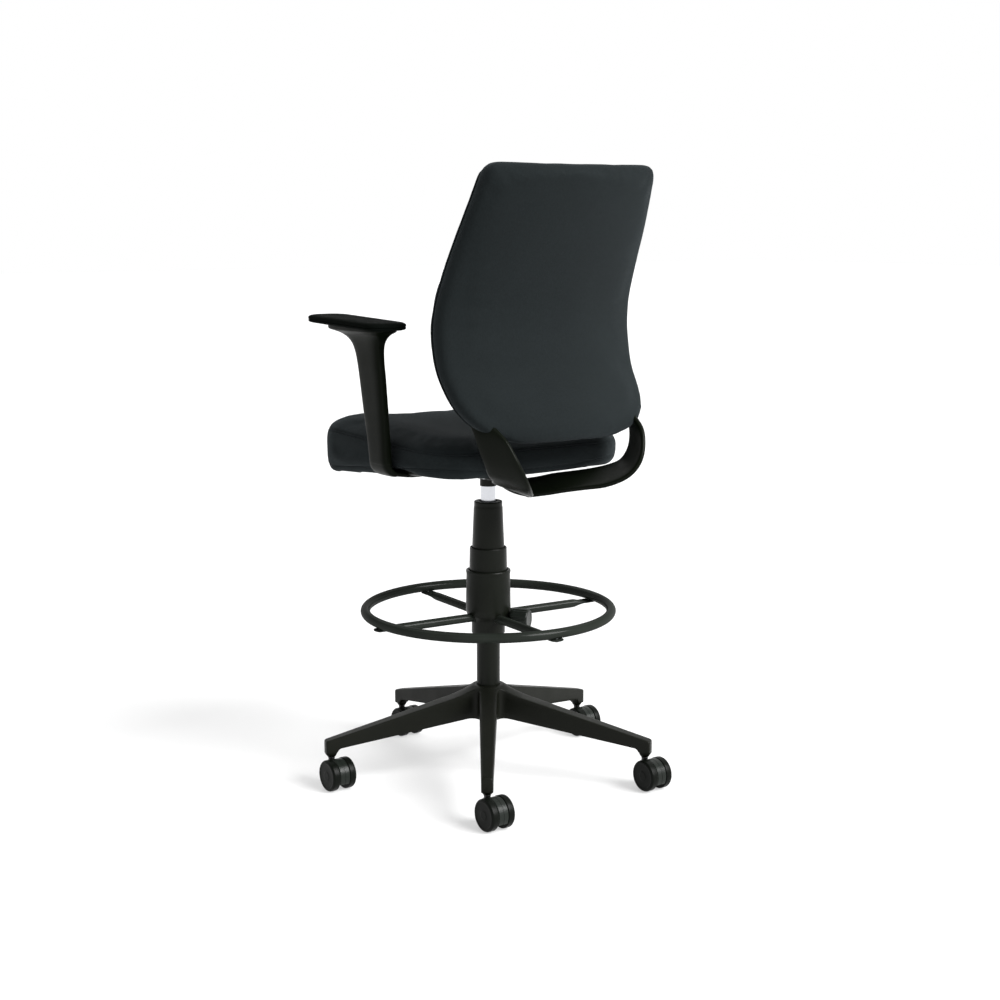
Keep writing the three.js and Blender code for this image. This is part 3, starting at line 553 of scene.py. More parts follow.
# ---- base ----
ARMS = 5
FIRST_ARM = -math.pi / 2
HALF_STEP = math.pi / ARMS
STAR_TOP = [
    (27.5, 171), (29.5, 170.6), (31.5, 169.6), (34, 167.8), (40, 164.2), (46, 161.3), (54, 158),
    (62, 154.9), (72, 151.5), (314.5, 89.4), (340, 82.9)]
STAR_UNDER = [
    (33, 107), (34, 109), (46, 109), (290, 73), (293, 71), (298, 64.5), (301, 61.7), (340, 61.5)]
STAR_FILLET = ((42.71, 16.5), (22.71, 16.5), (28.89, 35.52))
# The share of the fillet's curve that belongs to one arm.
FILLET_SHARE = 0.5
FILLET_STEPS = 8
FILLET_BULGE = 6.91
HUB_RADII = (22.15, 24.5, 27, 28.5, 30, 31.5, 33.5, 36.17)
ARM_STATIONS = (48, 54, 62, 72, *range(90, 291, 20), 293, 295.5, 298, 301, 305, 309, 312,
                314.5, 316, 317, 317.5)
ARM_TIP = ARM_STATIONS[-1]
ARM_HALF, ARM_TAPER, ARM_CORNER = 16.5, 5.9, 3.2
TIP_LENGTH, TIP_NARROWING = 4.0, 3.0
# How far the top edge of each of an arm's last sections is drawn down.
TIP_DROPS = {-4: 0.15, -3: 0.5, -2: 1.5, -1: 3.0}
ACROSS = [-1, -0.8, -0.6, -0.3, 0, 0.3, 0.6, 0.8, 1]
CASTER_CIRCLE = 305.9


def star_section(plan, half, corner):
    """Closed section of an arm: plan(f) gives (u, v) across its flat top, f from -1 to 1."""
    top, under = [], []
    for f in ACROSS:
        u, v = plan(f)
        v *= (half - corner) / half
        top.append((u, v, lerp_table(STAR_TOP, math.hypot(u, v))))
        under.append((u, v, lerp_table(STAR_UNDER, math.hypot(u, v))))
    edge_u = plan(1)[0]
    high, low = top[-1][2], under[-1][2]
    below = corner * 0.5
    wall = []
    for k in (1, 2, 3):
        t = k * math.pi / 6
        v, z = half - corner * (1 - math.sin(t)), high - corner * (1 - math.cos(t))
        wall.append((edge_u, v, z))
    rows = [high - corner + (low + below - high + corner) * t for t in (0.25, 0.5, 0.75, 1)]
    wall += [(edge_u, half, z) for z in rows]
    wall.append((edge_u, half - below * 0.3, low + below * 0.3))
    left = [(u, -v, z) for u, v, z in wall[::-1]]
    return top + wall + under[::-1] + left


def star_sector():
    """One arm and its share of the hub, closed at its tip and open towards its neighbours."""
    sections = []
    for radius in HUB_RADII:
        def plan(f, radius=radius):
            return radius * math.cos(HALF_STEP * f), radius * math.sin(HALF_STEP * f)
        sections.append(star_section(plan, radius * math.sin(HALF_STEP), 0.0))
    inner = len(sections)
    (u0, v0), (u1, v1), (u2, v2) = STAR_FILLET
    for k in range(1, FILLET_STEPS + 1):
        t = FILLET_SHARE * (1 - k / FILLET_STEPS)
        u = u0 * (1 - t) ** 2 + 2 * u1 * t * (1 - t) + u2 * t * t
        v = v0 * (1 - t) ** 2 + 2 * v1 * t * (1 - t) + v2 * t * t
        lead = FILLET_BULGE * t / FILLET_SHARE

        def plan(f, u=u, v=v, lead=lead):
            return u + lead * (1 - f * f), v * f
        sections.append(star_section(plan, v, ARM_CORNER * min(1, k / 6)))
    for u in ARM_STATIONS:
        half = ARM_HALF - ARM_TAPER * (u - u0) / (ARM_TIP - u0)
        tip = max(0.0, u - (ARM_TIP - TIP_LENGTH))
        half -= TIP_NARROWING * (1 - math.sqrt(max(0.0, 1 - (tip / TIP_LENGTH) ** 2)))

        def plan(f, u=u, half=half):
            return u, half * f
        sections.append(star_section(plan, half, ARM_CORNER))
    for k, by in TIP_DROPS.items():
        ring = sections[k]
        high, low = max(p[2] for p in ring), min(p[2] for p in ring)
        middle = (high + low) / 2
        sections[k] = [(u, v, z - by * max(0, z - middle) / (high - middle)
                        + 0.6 * by * max(0, middle - z) / (middle - low)) for u, v, z in ring]
    points, faces = loft(sections)
    count = len(sections[0])
    flat = len(ACROSS)
    side = (count - 2 * flat) // 2
    first_cap = len(faces) - 2
    kept = []
    for n, face in enumerate(faces):
        if n == first_cap:
            continue
        if n < first_cap:
            k, i = divmod(n, count)
            walled = flat - 1 <= i < flat + side or i >= 2 * flat + side - 1
            if k < inner - 1 and walled:
                continue
        kept.append(face)
    return points, kept


def base_star():
    points, faces = star_sector()
    pieces = []
    for k in range(ARMS):
        angle = FIRST_ARM + 2 * HALF_STEP * k
        pieces.append((outward(points, angle, 0), faces))
        foot = (CASTER_CIRCLE * math.cos(angle), CASTER_CIRCLE * math.sin(angle), 0)
        boss = filleted([(0, 76), (10.5, 76), (10.5, 62.5, 2), (7.6, 57.3, 0.8), (0, 57.3)], 0.5)
        pieces.append(turned(boss, 40, at=foot))
    ob = mesh_of("base_shell", pieces, sharp=28)
    cull_loose(ob)
    finish(ob, "base", PLASTIC, "plastic", "base_star")


def cull_loose(ob):
    """Deletes the points that no face uses."""
    work = bmesh.new()
    work.from_mesh(ob.data)
    bmesh.ops.delete(work, geom=[v for v in work.verts if not v.link_faces], context="VERTS")
    work.to_mesh(ob.data)
    work.free()


base_star()


# ---- casters ----
TRAIL = 22
WHEEL_RADIUS = 29
WHEEL_PROFILE = [
    (0, 10.5), (24, 10.5, 0.5), (24.5, 11.3, 0.4), (26.5, 11.3, 0.4), (27, 10.5, 0.4),
    (28.4, 10.5, 0.6), (29, 11.6, 0.6), (29, 21.4, 1.6), (27.6, 23.6, 1.2), (25.2, 24.4, 0.6),
    (23.2, 24.4, 0.4), (22.7, 23.9, 0.4), (9, 23.9, 0.5), (8.5, 24.3, 0.3), (7, 24.4, 0.5),
    (0, 24.4)]


def caster_wheel(name, at, side, body, node):
    profile = [(r, side * x) for r, x in filleted(WHEEL_PROFILE, 0.5)]
    ob = mesh_of(name, [turned(profile, 72, about="X", at=at)], sharp=40)
    finish(ob, body, CASTER_PLASTIC, "caster", node)


def caster_hood(name, at, body, node):
    """A fender over both wheels with two lugs below, and the neck that takes the stem."""
    radius, skirt, lug = 28.2, 15.0, 13.0
    start = math.asin((skirt - WHEEL_RADIUS) / radius)
    arc = [start + (math.pi - 2 * start) * i / 48 for i in range(49)]
    reach = radius * math.cos(start)
    outline = [(radius * math.cos(t), radius * math.sin(t)) for t in arc]
    low, deep = skirt - WHEEL_RADIUS, lug - WHEEL_RADIUS
    outline += [(-reach + 1, low), (-16, low), (-11, low), (-10, deep), (-4, deep),
                (4, deep), (10, deep), (11, low), (16, low), (reach - 1, low)]
    stations = [(-10, 1.3), (-9.7, 0.5), (-9.1, 0.0), (-0.5, 0.0), (-0.3, 0.45), (0.3, 0.45),
                (0.5, 0.0), (9.1, 0.0), (9.7, 0.5), (10, 1.3)]
    rings = [[(x, y * (1 - inset / radius), z * (1 - inset / radius)) for y, z in outline]
             for x, inset in stations]
    points, faces = loft(rings)
    shell = ([(x + at[0], y + at[1], z + at[2]) for x, y, z in points], faces)
    neck = filleted([(0, 32), (9.4, 32), (9.4, 48.4, 1.2), (6.9, 48.4, 0.3), (6.9, 46), (0, 46)], 0.4)
    boss = turned(neck, 48, at=(at[0], at[1] - TRAIL, 0))
    ob = mesh_of(name, [shell, boss], sharp=30)
    # The hood wears the lighter nylon copy, which paints light into its colour.
    finish(ob, body, HOOD_PLASTIC_PAINTED_LIGHT, "caster", node)


def caster_stem(name, at, body, node):
    profile = [(0, 26), (5.4, 26), (5.4, 48.8), (6.2, 48.8), (6.2, 51.4, 0.2), (5.7, 51.7, 0.2),
               (5.7, 53.2, 0.2), (6.2, 53.5, 0.2), (6.2, 56.7), (5.4, 56.7), (5.4, 84), (0, 84)]
    ob = mesh_of(name, [turned(filleted(profile, 0.5), 40, at=(at[0], at[1] - TRAIL, 0))], sharp=40)
    # The stem takes the near-black steel colour.
    finish(ob, body, DARK_STEEL, "steel", node)


for k in range(ARMS):
    turn = FIRST_ARM + 2 * HALF_STEP * k
    hub = (CASTER_CIRCLE * math.cos(turn), CASTER_CIRCLE * math.sin(turn) + TRAIL, WHEEL_RADIUS)
    n = k + 1
    caster_wheel(f"wheel_shell_{n}_left", hub, 1, f"wheel_{n}_left", f"caster_{n}_wheel_left")
    caster_wheel(f"wheel_shell_{n}_right", hub, -1, f"wheel_{n}_right", f"caster_{n}_wheel_right")
    caster_hood(f"hood_shell_{n}", hub, f"caster_{n}", f"caster_{n}_hood")
    caster_stem(f"stem_pin_{n}", hub, f"caster_{n}", f"caster_{n}_stem")


# ---- column and covers ----
def add_turned(name, profile, body, material, slot, node, loop=True):
    ob = mesh_of(name, [turned(filleted(profile, 0.8, 3, loop), 96, loop)], sharp=40)
    finish(ob, body, material, slot, node)


add_turned("column_skin", [(5.3, 106), (22, 106), (22, 518), (19.5, 518), (19.5, 112), (5.3, 112)],
           "base", COLUMN_PLASTIC, "plastic", "column_tube")
add_turned("cover_upper_skin", [
    (22.3, 404), (31.6, 404), (27.1, 511, 3), (26.3, 514, 2), (26.6, 521), (25.6, 523, 0.8),
    (18.2, 523, 0.6), (17.2, 519, 0.8), (14.8, 519, 0.3), (14.8, 518.3, 0.2), (22.3, 518.3, 0.2)],
    "base", COLUMN_PLASTIC, "plastic", "cover_upper")
add_turned("cover_middle_skin", [
    (22.3, 352), (36.4, 352), (34.7, 434, 0.6), (33.9, 435.6, 0.6), (32.3, 435.6, 0.4),
    (32.0, 433), (32.0, 356), (22.3, 356)], "base", COLUMN_PLASTIC, "plastic", "cover_middle")
add_turned("cylinder_skin", [
    (0, 554), (11, 554), (11, 172), (5.3, 172), (5.3, 160), (14, 160), (14, 551.5), (13.7, 584),
    (0, 584)], "seat", CHROME, "chrome", "gas_cylinder", loop=False)


# ---- foot ring ----
RING_RADIUS, RING_TUBE, RING_Z = 231.4, 9.0, 316.0
SPOKE_TURNS = [math.radians(-4 + 90 * i) for i in range(4)]
SPOKE_Z = 303.5
TAB_HALF, TAB_GAP = 2, 0.3
KNOB_TURN, KNOB_Z = math.radians(126), 301.0


def stub(profile, radius, sides, angle, z):
    """A round boss that points outwards at an angle."""
    points, faces = turned(filleted(profile, radius), sides)
    return outward([(h, y, -x) for x, y, h in points], angle, z), faces


def ring_hub():
    profile = [
        (22.3, 271), (31.5, 271, 1.5), (31.5, 296, 3), (35.5, 301.5, 3), (40.3, 307, 4), (42.3, 315, 5),
        (41.8, 350, 8), (41.1, 384.5, 1.5), (42.2, 390, 0.8), (41.3, 392.5, 0.8), (37.6, 392.5, 0.4),
        (37.6, 335), (22.3, 335)]
    pieces = [turned(filleted(profile, 0.8, 4, True), 128, True)]
    boss = [(0, 25), (11, 25), (11, 42.4, 1), (9, 42.5, 0.4), (0, 42.5)]
    pieces.append(stub(boss, 0.5, 48, KNOB_TURN, KNOB_Z))
    lip = [(0, 28), (9.6, 28), (9.6, 34.6, 0.8), (8.6, 35.2, 0.3), (0, 35.2)]
    pieces += [stub(lip, 0.4, 40, angle, SPOKE_Z) for angle in SPOKE_TURNS]
    ob = mesh_of("ring_hub_shell", pieces, sharp=32)
    finish(ob, "foot_rest", COLUMN_PLASTIC, "plastic", "ring_hub")


def foot_ring():
    profile = [(RING_RADIUS + RING_TUBE * math.cos(t), RING_Z + RING_TUBE * math.sin(t))
               for t in circle(28)]
    ob = mesh_of("foot_ring_tube", [turned(profile, 180, True)], sharp=60)
    finish(ob, "foot_rest", ENAMEL, "enamel", "foot_ring")


def ring_spoke(n, angle):
    """A round spoke pressed flat at its outer end, and the screw that holds the ring on it."""
    tab = RING_Z - RING_TUBE - TAB_GAP - TAB_HALF - SPOKE_Z
    rows = [
        (29, 8, 8, 0, 1), (80, 8, 8, 0, 1), (140, 8, 8, 0, 1), (188, 8, 8, 0, 1),
        (197, 8.4, 7.2, 0.2, 0.95), (205, 9.9, 4.6, tab * 0.5, 0.8), (213, 12.4, 2.3, tab * 0.95, 0.6),
        (218, 13, 2, tab, 0.45), (230, 13, 2, tab, 0.45), (235, 12.4, 2, tab, 0.5),
        (239, 9.8, 1.9, tab, 0.6), (241, 6, 1.5, tab, 0.7)]
    rings = [[(x, a, z + b) for a, b in squared_oval(half_y, half_z, square, 32)]
             for x, half_y, half_z, z, square in smooth_rows(rows, 3)]
    points, faces = loft(rings)
    ob = mesh_of(f"spoke_bar_{n}", [(outward(points, angle, SPOKE_Z), faces)], sharp=38)
    finish(ob, "foot_rest", ENAMEL, "enamel", f"ring_spoke_{n}")
    under = RING_Z - RING_TUBE - 2 * TAB_HALF - 2 * TAB_GAP
    head = filleted([(0, under - 0.7), (1.7, under - 0.7, 0.1), (2.1, under - 1.8, 0.2),
                     (3.4, under - 1.8, 0.5), (5, under - 0.8, 0.4), (5, under), (2.5, under),
                     (2.5, RING_Z - 3), (0, RING_Z - 3)], 0.1)
    foot = (RING_RADIUS * math.cos(angle), RING_RADIUS * math.sin(angle), 0)
    screw = mesh_of(f"screw_head_{n}", [turned(head, 36, at=foot)], sharp=35)
    finish(screw, "foot_rest", STEEL, "steel", f"ring_screw_{n}")


def clamp_knob():
    flutes = 14
    rows = [
        (44, 14.6, 0), (44.7, 15.6, 0), (46.5, 17.9, 0.2), (49, 19.5, 0.6), (52, 20.3, 1),
        (55, 20.5, 1), (62, 20.4, 1), (69, 20.3, 1), (75, 20.2, 1), (78, 19.8, 0.7),
        (80, 18.9, 0.3), (80.8, 17.7, 0.05), (81, 16.5, 0), (80.9, 15, 0), (80.2, 14.4, 0),
        (80.1, 8, 0), (80.3, 2.5, 0)]
    rings = []
    for x, radius, depth in rows:
        ring = []
        for t in circle(12 * flutes):
            r = radius - depth * (0.5 - 0.5 * math.cos(flutes * t)) ** 3
            ring.append((x, r * math.cos(t), r * math.sin(t)))
        rings.append(ring)
    points, faces = loft(rings)
    ob = mesh_of("knob_grip", [(outward(points, KNOB_TURN, KNOB_Z), faces)], sharp=42)
    # The knob wears the hood's lighter nylon copy, which paints light into its colour.
    finish(ob, "knob", HOOD_PLASTIC_PAINTED_LIGHT, "plastic", "clamp_knob")


ring_hub()
foot_ring()
for n, angle in enumerate(SPOKE_TURNS, 1):
    ring_spoke(n, angle)
clamp_knob()


# ---- height lever ----
LEVER_Y, LEVER_Z = -52, 576.5


def height_lever():
    rows = [(30, 0, 3.9, 3.9, 1), (60, 0, 3.9, 3.9, 1), (110, 0, 3.9, 3.9, 1), (132, 0, 4, 4, 1),
            (140, 0, 4.4, 4.9, 0.85), (150, -0.5, 4.3, 8, 0.7), (162, -1.5, 3.5, 12, 0.62),
            (178, -1.9, 3.3, 12.9, 0.6), (190, -2, 3.1, 12.8, 0.6), (195, -2, 2.8, 11, 0.62),
            (198, -2, 2.0, 7.5, 0.7)]
    rings = [[(-x, LEVER_Y + a, LEVER_Z + z + b) for a, b in squared_oval(half_y, half_z, square, 32)]
             for x, z, half_z, half_y, square in smooth_rows(rows, 4)]
    ob = mesh_of("lever_paddle", [loft(rings)], sharp=40)
    finish(ob, "lever", PLASTIC, "plastic", "height_lever")


height_lever()


# ---- seat ----
SEAT_HALF, SEAT_FRONT, SEAT_REAR, SEAT_CORNER = 234.0, -252.0, 164.0, 82.0
SEAT_MIDDLE = (SEAT_FRONT + SEAT_REAR) / 2
SEAT_NARROWING = 0.09
SEAT_SLOPE, SEAT_TWIST = 0.04, 0.1
SEAT_STEPS = 14
HELD_BELOW = 604
# The covers' grid in metres, and the cloth simulation that fills them.
COVER_VOXEL = 0.006
PRESSURE, FRAMES = 4.0, 20


def seat_outline(inset):
    """The seat's round-cornered outline, narrower towards its rear; a minus inset is outside."""
    w, f, b = SEAT_HALF - inset, SEAT_FRONT + inset, SEAT_REAR - inset
    r = max(14, SEAT_CORNER - inset * 0.6)
    corners = [(w - r, b - r, 0), (-w + r, b - r, 90), (-w + r, f + r, 180), (w - r, f + r, 270)]
    arcs = []
    for cx, cy, start in corners:
        turns = [math.radians(start + 90 * i / SEAT_STEPS) for i in range(SEAT_STEPS + 1)]
        arcs.append([(cx + r * math.cos(t), cy + r * math.sin(t)) for t in turns])
    out = []
    for i, arc in enumerate(arcs):
        (x0, y0), (x1, y1) = arc[-1], arcs[(i + 1) % 4][0]
        out += arc
        out += [(x0 + (x1 - x0) * k / SEAT_STEPS, y0 + (y1 - y0) * k / SEAT_STEPS)
                for k in range(1, SEAT_STEPS)]
    length = SEAT_REAR - SEAT_FRONT
    return [(x * (1 - SEAT_NARROWING * max(0.0, (y - SEAT_FRONT) / length) ** 2), y)
            for x, y in out]


def seat_level(y, x, z, slope, twist):
    """A height that falls towards the rear by the slope and rises there with x by the twist."""
    return z + y * (twist * (x / SEAT_HALF) ** 2 - slope)


def seat_ring(inset, z, slope=0.0, twist=0.0):
    return [(x, y, seat_level(y, x, z, slope, twist)) for x, y in seat_outline(inset)]


def seat_pan():
    middle = seat_ring(130, 587)
    rows = [(90, 587.3), (60, 587.5), (36, 588.5), (28, 589.6), (25.2, 590.4), (23.5, 591.4),
            (22.5, 592.6), (22.2, 594), (22.2, 596.4), (22.6, 597.1), (24, 597.5)]
    rings = [middle] + [seat_ring(inset, z, twist=SEAT_TWIST) for inset, z in rows]
    ob = mesh_of("seat_pan_shell", [loft(rings)], sharp=50)
    finish(ob, "seat", PLASTIC, "plastic", "seat_pan")


def swollen(ob, cap, pinned):
    """Fills a closed cover: cloth under inner pressure, with each point's travel capped in mm."""
    remeshed(ob, COVER_VOXEL)
    apply_modifiers(ob)
    softened(ob, 3)
    apply_modifiers(ob)
    before = [v.co.copy() for v in ob.data.vertices]
    group = ob.vertex_groups.new(name="held")
    group.add([v.index for v in ob.data.vertices if pinned(v.co / MM)], 1.0, "REPLACE")
    cloth = ob.modifiers.new("cloth", "CLOTH")
    cloth.settings.quality = 5
    cloth.settings.mass = 0.3
    cloth.settings.tension_stiffness = 18
    cloth.settings.compression_stiffness = 18
    cloth.settings.shear_stiffness = 6
    cloth.settings.bending_stiffness = 1.5
    cloth.settings.use_pressure = True
    cloth.settings.uniform_pressure_force = PRESSURE
    cloth.settings.effector_weights.gravity = 0
    cloth.settings.vertex_group_mass = "held"
    cloth.point_cache.frame_start = 1
    cloth.point_cache.frame_end = FRAMES
    for frame_number in range(1, FRAMES + 1):
        SCENE.frame_set(frame_number)
    apply_modifiers(ob)
    for vertex, home in zip(ob.data.vertices, before):
        moved = vertex.co - home
        if moved.length > cap * MM:
            vertex.co = home + moved.normalized() * cap * MM
    SCENE.frame_set(1)
    ob.vertex_groups.clear()
    softened(ob, 4)
    subdiv = ob.modifiers.new("fine", "SUBSURF")
    subdiv.levels = 1
    subdiv.render_levels = 1
    apply_modifiers(ob)


def skin_of(ob):
    work = bmesh.new()
    work.from_mesh(ob.data)
    tree = BVHTree.FromBMesh(work)
    work.free()
    return tree


def press_seam(ob, path, depth, spread):
    """Draws the skin in along a seam; the path is in metres, depth and spread in mm."""
    work = bmesh.new()
    work.from_mesh(ob.data)
    index = {}
    cell = spread * 3 * MM
    for p in path:
        key = tuple(int(math.floor(c / cell)) for c in p)
        index.setdefault(key, []).append(p)
    for vertex in work.verts:
        key = [int(math.floor(c / cell)) for c in vertex.co]
        near = [p for dx in (-1, 0, 1) for dy in (-1, 0, 1) for dz in (-1, 0, 1)
                for p in index.get((key[0] + dx, key[1] + dy, key[2] + dz), ())]
        if not near:
            continue
        gap = min((vertex.co - p).length for p in near) / (spread * MM)
        if gap < 3:
            vertex.co -= vertex.normal * depth * MM * math.exp(-gap * gap)
    work.to_mesh(ob.data)
    work.free()


def resampled(path, pitch):
    """Even points along a closed path, both in metres."""
    lengths = [0.0]
    loop = path + [path[0]]
    for a, b in zip(loop, loop[1:]):
        lengths.append(lengths[-1] + (b - a).length)
    count = int(lengths[-1] / pitch)
    out, k = [], 0
    for i in range(count):
        at = lengths[-1] * i / count
        while lengths[k + 1] < at:
            k += 1
        t = (at - lengths[k]) / max(1e-9, lengths[k + 1] - lengths[k])
        out.append(loop[k].lerp(loop[k + 1], t))
    return out


def eased(path, rounds):
    """Smooths a closed path."""
    count = len(path)
    for _ in range(rounds):
        path = [path[i - 1] * 0.25 + path[i] * 0.5 + path[(i + 1) % count] * 0.25
                for i in range(count)]
    return path


def piping(name, path, radius, body):
    """A sewn cord lying on the skin along a path in metres."""
    ob = mesh_of(name, [cord_loop([about_axis(p) for p in path], radius, 10)], sharp=SMOOTH_ALL)
    finish(ob, body, PIPING, "fabric")


def held_to_pan(point):
    """True below the rim that holds the cover; the point is in mm in the shared frame."""
    x, y = point.x - AXIS_X, point.y - AXIS_Y
    return point.z < seat_level(y, x, HELD_BELOW, 0, SEAT_TWIST)


def dished(ob):
    """Sinks the middle of the seat's top between its two side bolsters."""
    depth, flat_half, bolster_x = 5.0, 70, 150
    for vertex in ob.data.vertices:
        x, _, z = about_axis(vertex.co)
        across = ramped(abs(x), flat_half, bolster_x)
        vertex.co.z -= depth * MM * (1 - smooth(across)) * ramped(z, 630, 655)


def lower_rear_corners(ob):
    """Lets the pad's lower edge sag at its two rear corners, outside the yoke."""
    sag = 4.5
    for vertex in ob.data.vertices:
        x, y, z = about_axis(vertex.co)
        outside = ramped(abs(x), 105, 160) * ramped(y, 70, 130)
        vertex.co.z -= sag * MM * outside * ramped(z, 625, 605)


def clear_of_feet(ob):
    """Draws the pad's lower edge in where the arm feet pass under it and bend up."""
    bend_x, bend_z, keep = 220.0, 621.0, 14.0
    flat_x, flat_z = 175, 598.4
    for vertex in ob.data.vertices:
        x, y, z = about_axis(vertex.co)
        share = 1 - max(ramped(y, -21, -29), ramped(y, 41, 86))
        if share <= 0 or z > bend_z:
            continue
        if abs(x) < bend_x:
            rise = smooth(ramped(abs(x), flat_x, bend_x))
            floor_z = flat_z + (bend_z - keep - flat_z) * rise
            vertex.co.z = max(vertex.co.z, (z + (floor_z - z) * share) * MM)
            continue
        gap = math.hypot(abs(x) - bend_x, z - bend_z)
        if gap > keep:
            pull = share * (1 - keep / gap)
            vertex.co.x -= math.copysign((abs(x) - bend_x) * pull * MM, x)
            vertex.co.z += (bend_z - z) * pull * MM


def seat_seam(ob, skin, name, z, slope, twist, radius):
    """A pressed seam with its cord, where rays from outside the seat meet its skin."""
    outside = 30
    middle = placed(0, SEAT_MIDDLE, 0)
    path = []
    for x, y in seat_outline(-outside):
        inner_x = x * (SEAT_HALF / (SEAT_HALF + outside))
        start = placed(x, y, seat_level(y, inner_x, z, slope, twist))
        inward = Vector((middle.x - start.x, middle.y - start.y, 0)).normalized()
        path.append(skin.ray_cast(start, inward)[0] + inward * MM)
    path = eased(resampled(path, 0.004), 2)
    press_seam(ob, path, 2.6, 2.6)
    piping(name, path, radius, "seat")


def seat_cushion():
    k, w = SEAT_SLOPE, SEAT_TWIST
    rows = [
        (60, 598.6, 0, w), (21, 598.6, 0, w), (20.5, 592, 0, w), (17, 589.8, 0, w),
        (12, 590.4, 0, w), (8, 593.5, 0, w), (4.5, 598.5, 0, w), (1.5, 605, k * 0.1, w * 0.9),
        (-1.5, 613, k * 0.3, w * 0.75), (-3.5, 622, k * 0.5, w * 0.5), (-4, 631, k * 0.7, w * 0.3),
        (-3, 640, k * 0.9, w * 0.1), (-0.5, 647, k, 0), (4.5, 654, k, 0), (13, 660, k, 0),
        (27, 664, k, 0), (48, 666, k, 0), (84, 666.4, k, 0), (120, 666, k, 0), (160, 665.6, k, 0)]
    ob = mesh_of("seat_pad", [loft([seat_ring(*row) for row in rows])], sharp=SMOOTH_ALL)
    swollen(ob, 5.0, held_to_pan)
    dished(ob)
    lower_rear_corners(ob)
    clear_of_feet(ob)
    skin = skin_of(ob)
    seat_seam(ob, skin, "seat_seam_top", 646.0, SEAT_SLOPE, 0.0, 1.0)
    seat_seam(ob, skin, "seat_seam_low", 603.0, 0.004, 0.09, 0.9)
    shade(ob, SMOOTH_ALL)
    finish(ob, "seat", CLOTH, "fabric", "seat_cushion")


seat_pan()
seat_cushion()


# ---- arms ----
ARM_X = 245.0
PAD_MIDDLE = -61.0
PAD_SLOPE = 0.03
PAD_Z = 853.1


def arm_section(at, lean, half_y, half_thick, tilt=0.0):
    """A section of an arm: lean turns it from level to upright, tilt slopes it along the arm."""
    x, y, z = at
    out = []
    for t, along in squared_oval(half_thick, half_y, 0.45, 40):
        v = y + along
        out.append((x - t * math.sin(lean), v, z + t * math.cos(lean) - tilt * (v - PAD_MIDDLE)))
    return out


def arm_support(side):
    y, half_y, thick, steps, bend = 9.0, 29.0, 5.25, 9, 25.0
    rings = [arm_section((x, y, 592), 0, half_y, thick) for x in (100, 125, 150, 190)]
    for i in range(steps + 1):
        share = i / steps
        t = share * math.pi / 2
        at = (ARM_X - bend * (1 - math.sin(t)), y + 6 * share, 596 + bend * (1 - math.cos(t)))
        rings.append(arm_section(at, t, half_y - 2 * share, thick + (10 - thick) * share))
    levels = [(660, -19, 39, 10), (685, -25, 36.5, 10), (710, -31, 34, 10), (740, -37.5, 30.5, 10),
              (770, -44, 27, 10), (790, -49, 23.5, 10.1), (806, -54, 22, 10.5), (822, -62, 22, 12),
              (833, -74, 26, 15), (841, -92, 33, 20), (845.5, -112, 40, 27), (847.6, -124, 43.2, 29.6)]
    for z, front, rear, half_x in levels:
        middle = (ARM_X, (front + rear) / 2, z)
        rings.append(arm_section(middle, math.pi / 2, (rear - front) / 2, half_x))
    for z, slope in ((850, 0.012), (853.6, PAD_SLOPE)):
        rings.append(arm_section((ARM_X, -42, z), math.pi / 2, 86, 30, slope))
    ob = mesh_of(f"arm_post_{side}", [on_side(side, loft(smooth_rings(rings, 3)))], sharp=36)
    # The arm posts wear the darker nylon copy, which paints shade into their colour.
    finish(ob, "seat", ARM_PLASTIC_PAINTED_SHADE, "plastic", f"arm_support_{side}")


def pad_ring(inset, z):
    half, front, rear = 41 - inset, -182 + inset, 60 - inset
    reach = min(half, 34)
    out = []
    for t in half_turns(72):
        x = half * power(math.cos(t), 0.75)
        y = (rear - reach if math.sin(t) > 0 else front + reach) + reach * power(math.sin(t), 0.75)
        out.append((ARM_X + x, y, z - PAD_SLOPE * (y - PAD_MIDDLE)))
    return out


def arm_pad(side):
    rows = [(20, 0), (14, 0.1), (8, 0.5), (4, 1), (1.8, 1.8), (0.5, 3), (0.2, 4.2), (0.2, 5.3),
            (0.8, 5.6), (1.3, 5.9), (1.3, 6.3), (0.8, 6.6), (0.1, 7), (0, 8.5), (0.1, 10.3),
            (0.8, 11.6), (2, 12.7), (4, 13.7), (7, 14.3),
            (11, 14.65), (16, 14.85), (22, 14.95), (28, 15), (33, 15)]
    piece = loft([pad_ring(inset, PAD_Z + lift) for inset, lift in rows])
    ob = mesh_of(f"arm_cap_{side}", [on_side(side, piece)], sharp=50)
    finish(ob, "seat", PAD_SKIN, "plastic", f"arm_pad_{side}")


for side in ("left", "right"):
    arm_support(side)
    arm_pad(side)


# ---- yoke ----
YOKE_THICK, YOKE_VOXEL = 11, 0.0018
# Points up the left fork's rear and front edges.
YOKE_REAR = [
    (-6, 131, 548), (18, 163, 555), (34, 184, 560.5), (58, 216, 567.5), (81, 245, 573.5),
    (103, 270, 587), (119, 282, 604), (132, 284, 625), (142, 277, 650), (149, 262, 675),
    (153, 229, 698), (155, 206, 720), (156, 192, 740), (157, 182, 755)]
YOKE_FRONT = [
    (-6, 72, 569), (38, 95, 574), (65, 113, 580.5), (91, 139, 586), (112, 169, 593),
    (131, 193, 601), (148, 207, 611), (160, 213, 631), (168, 210, 653), (172, 202, 677),
    (173, 188, 699), (172, 180, 720), (170, 172, 740), (168, 168, 754)]


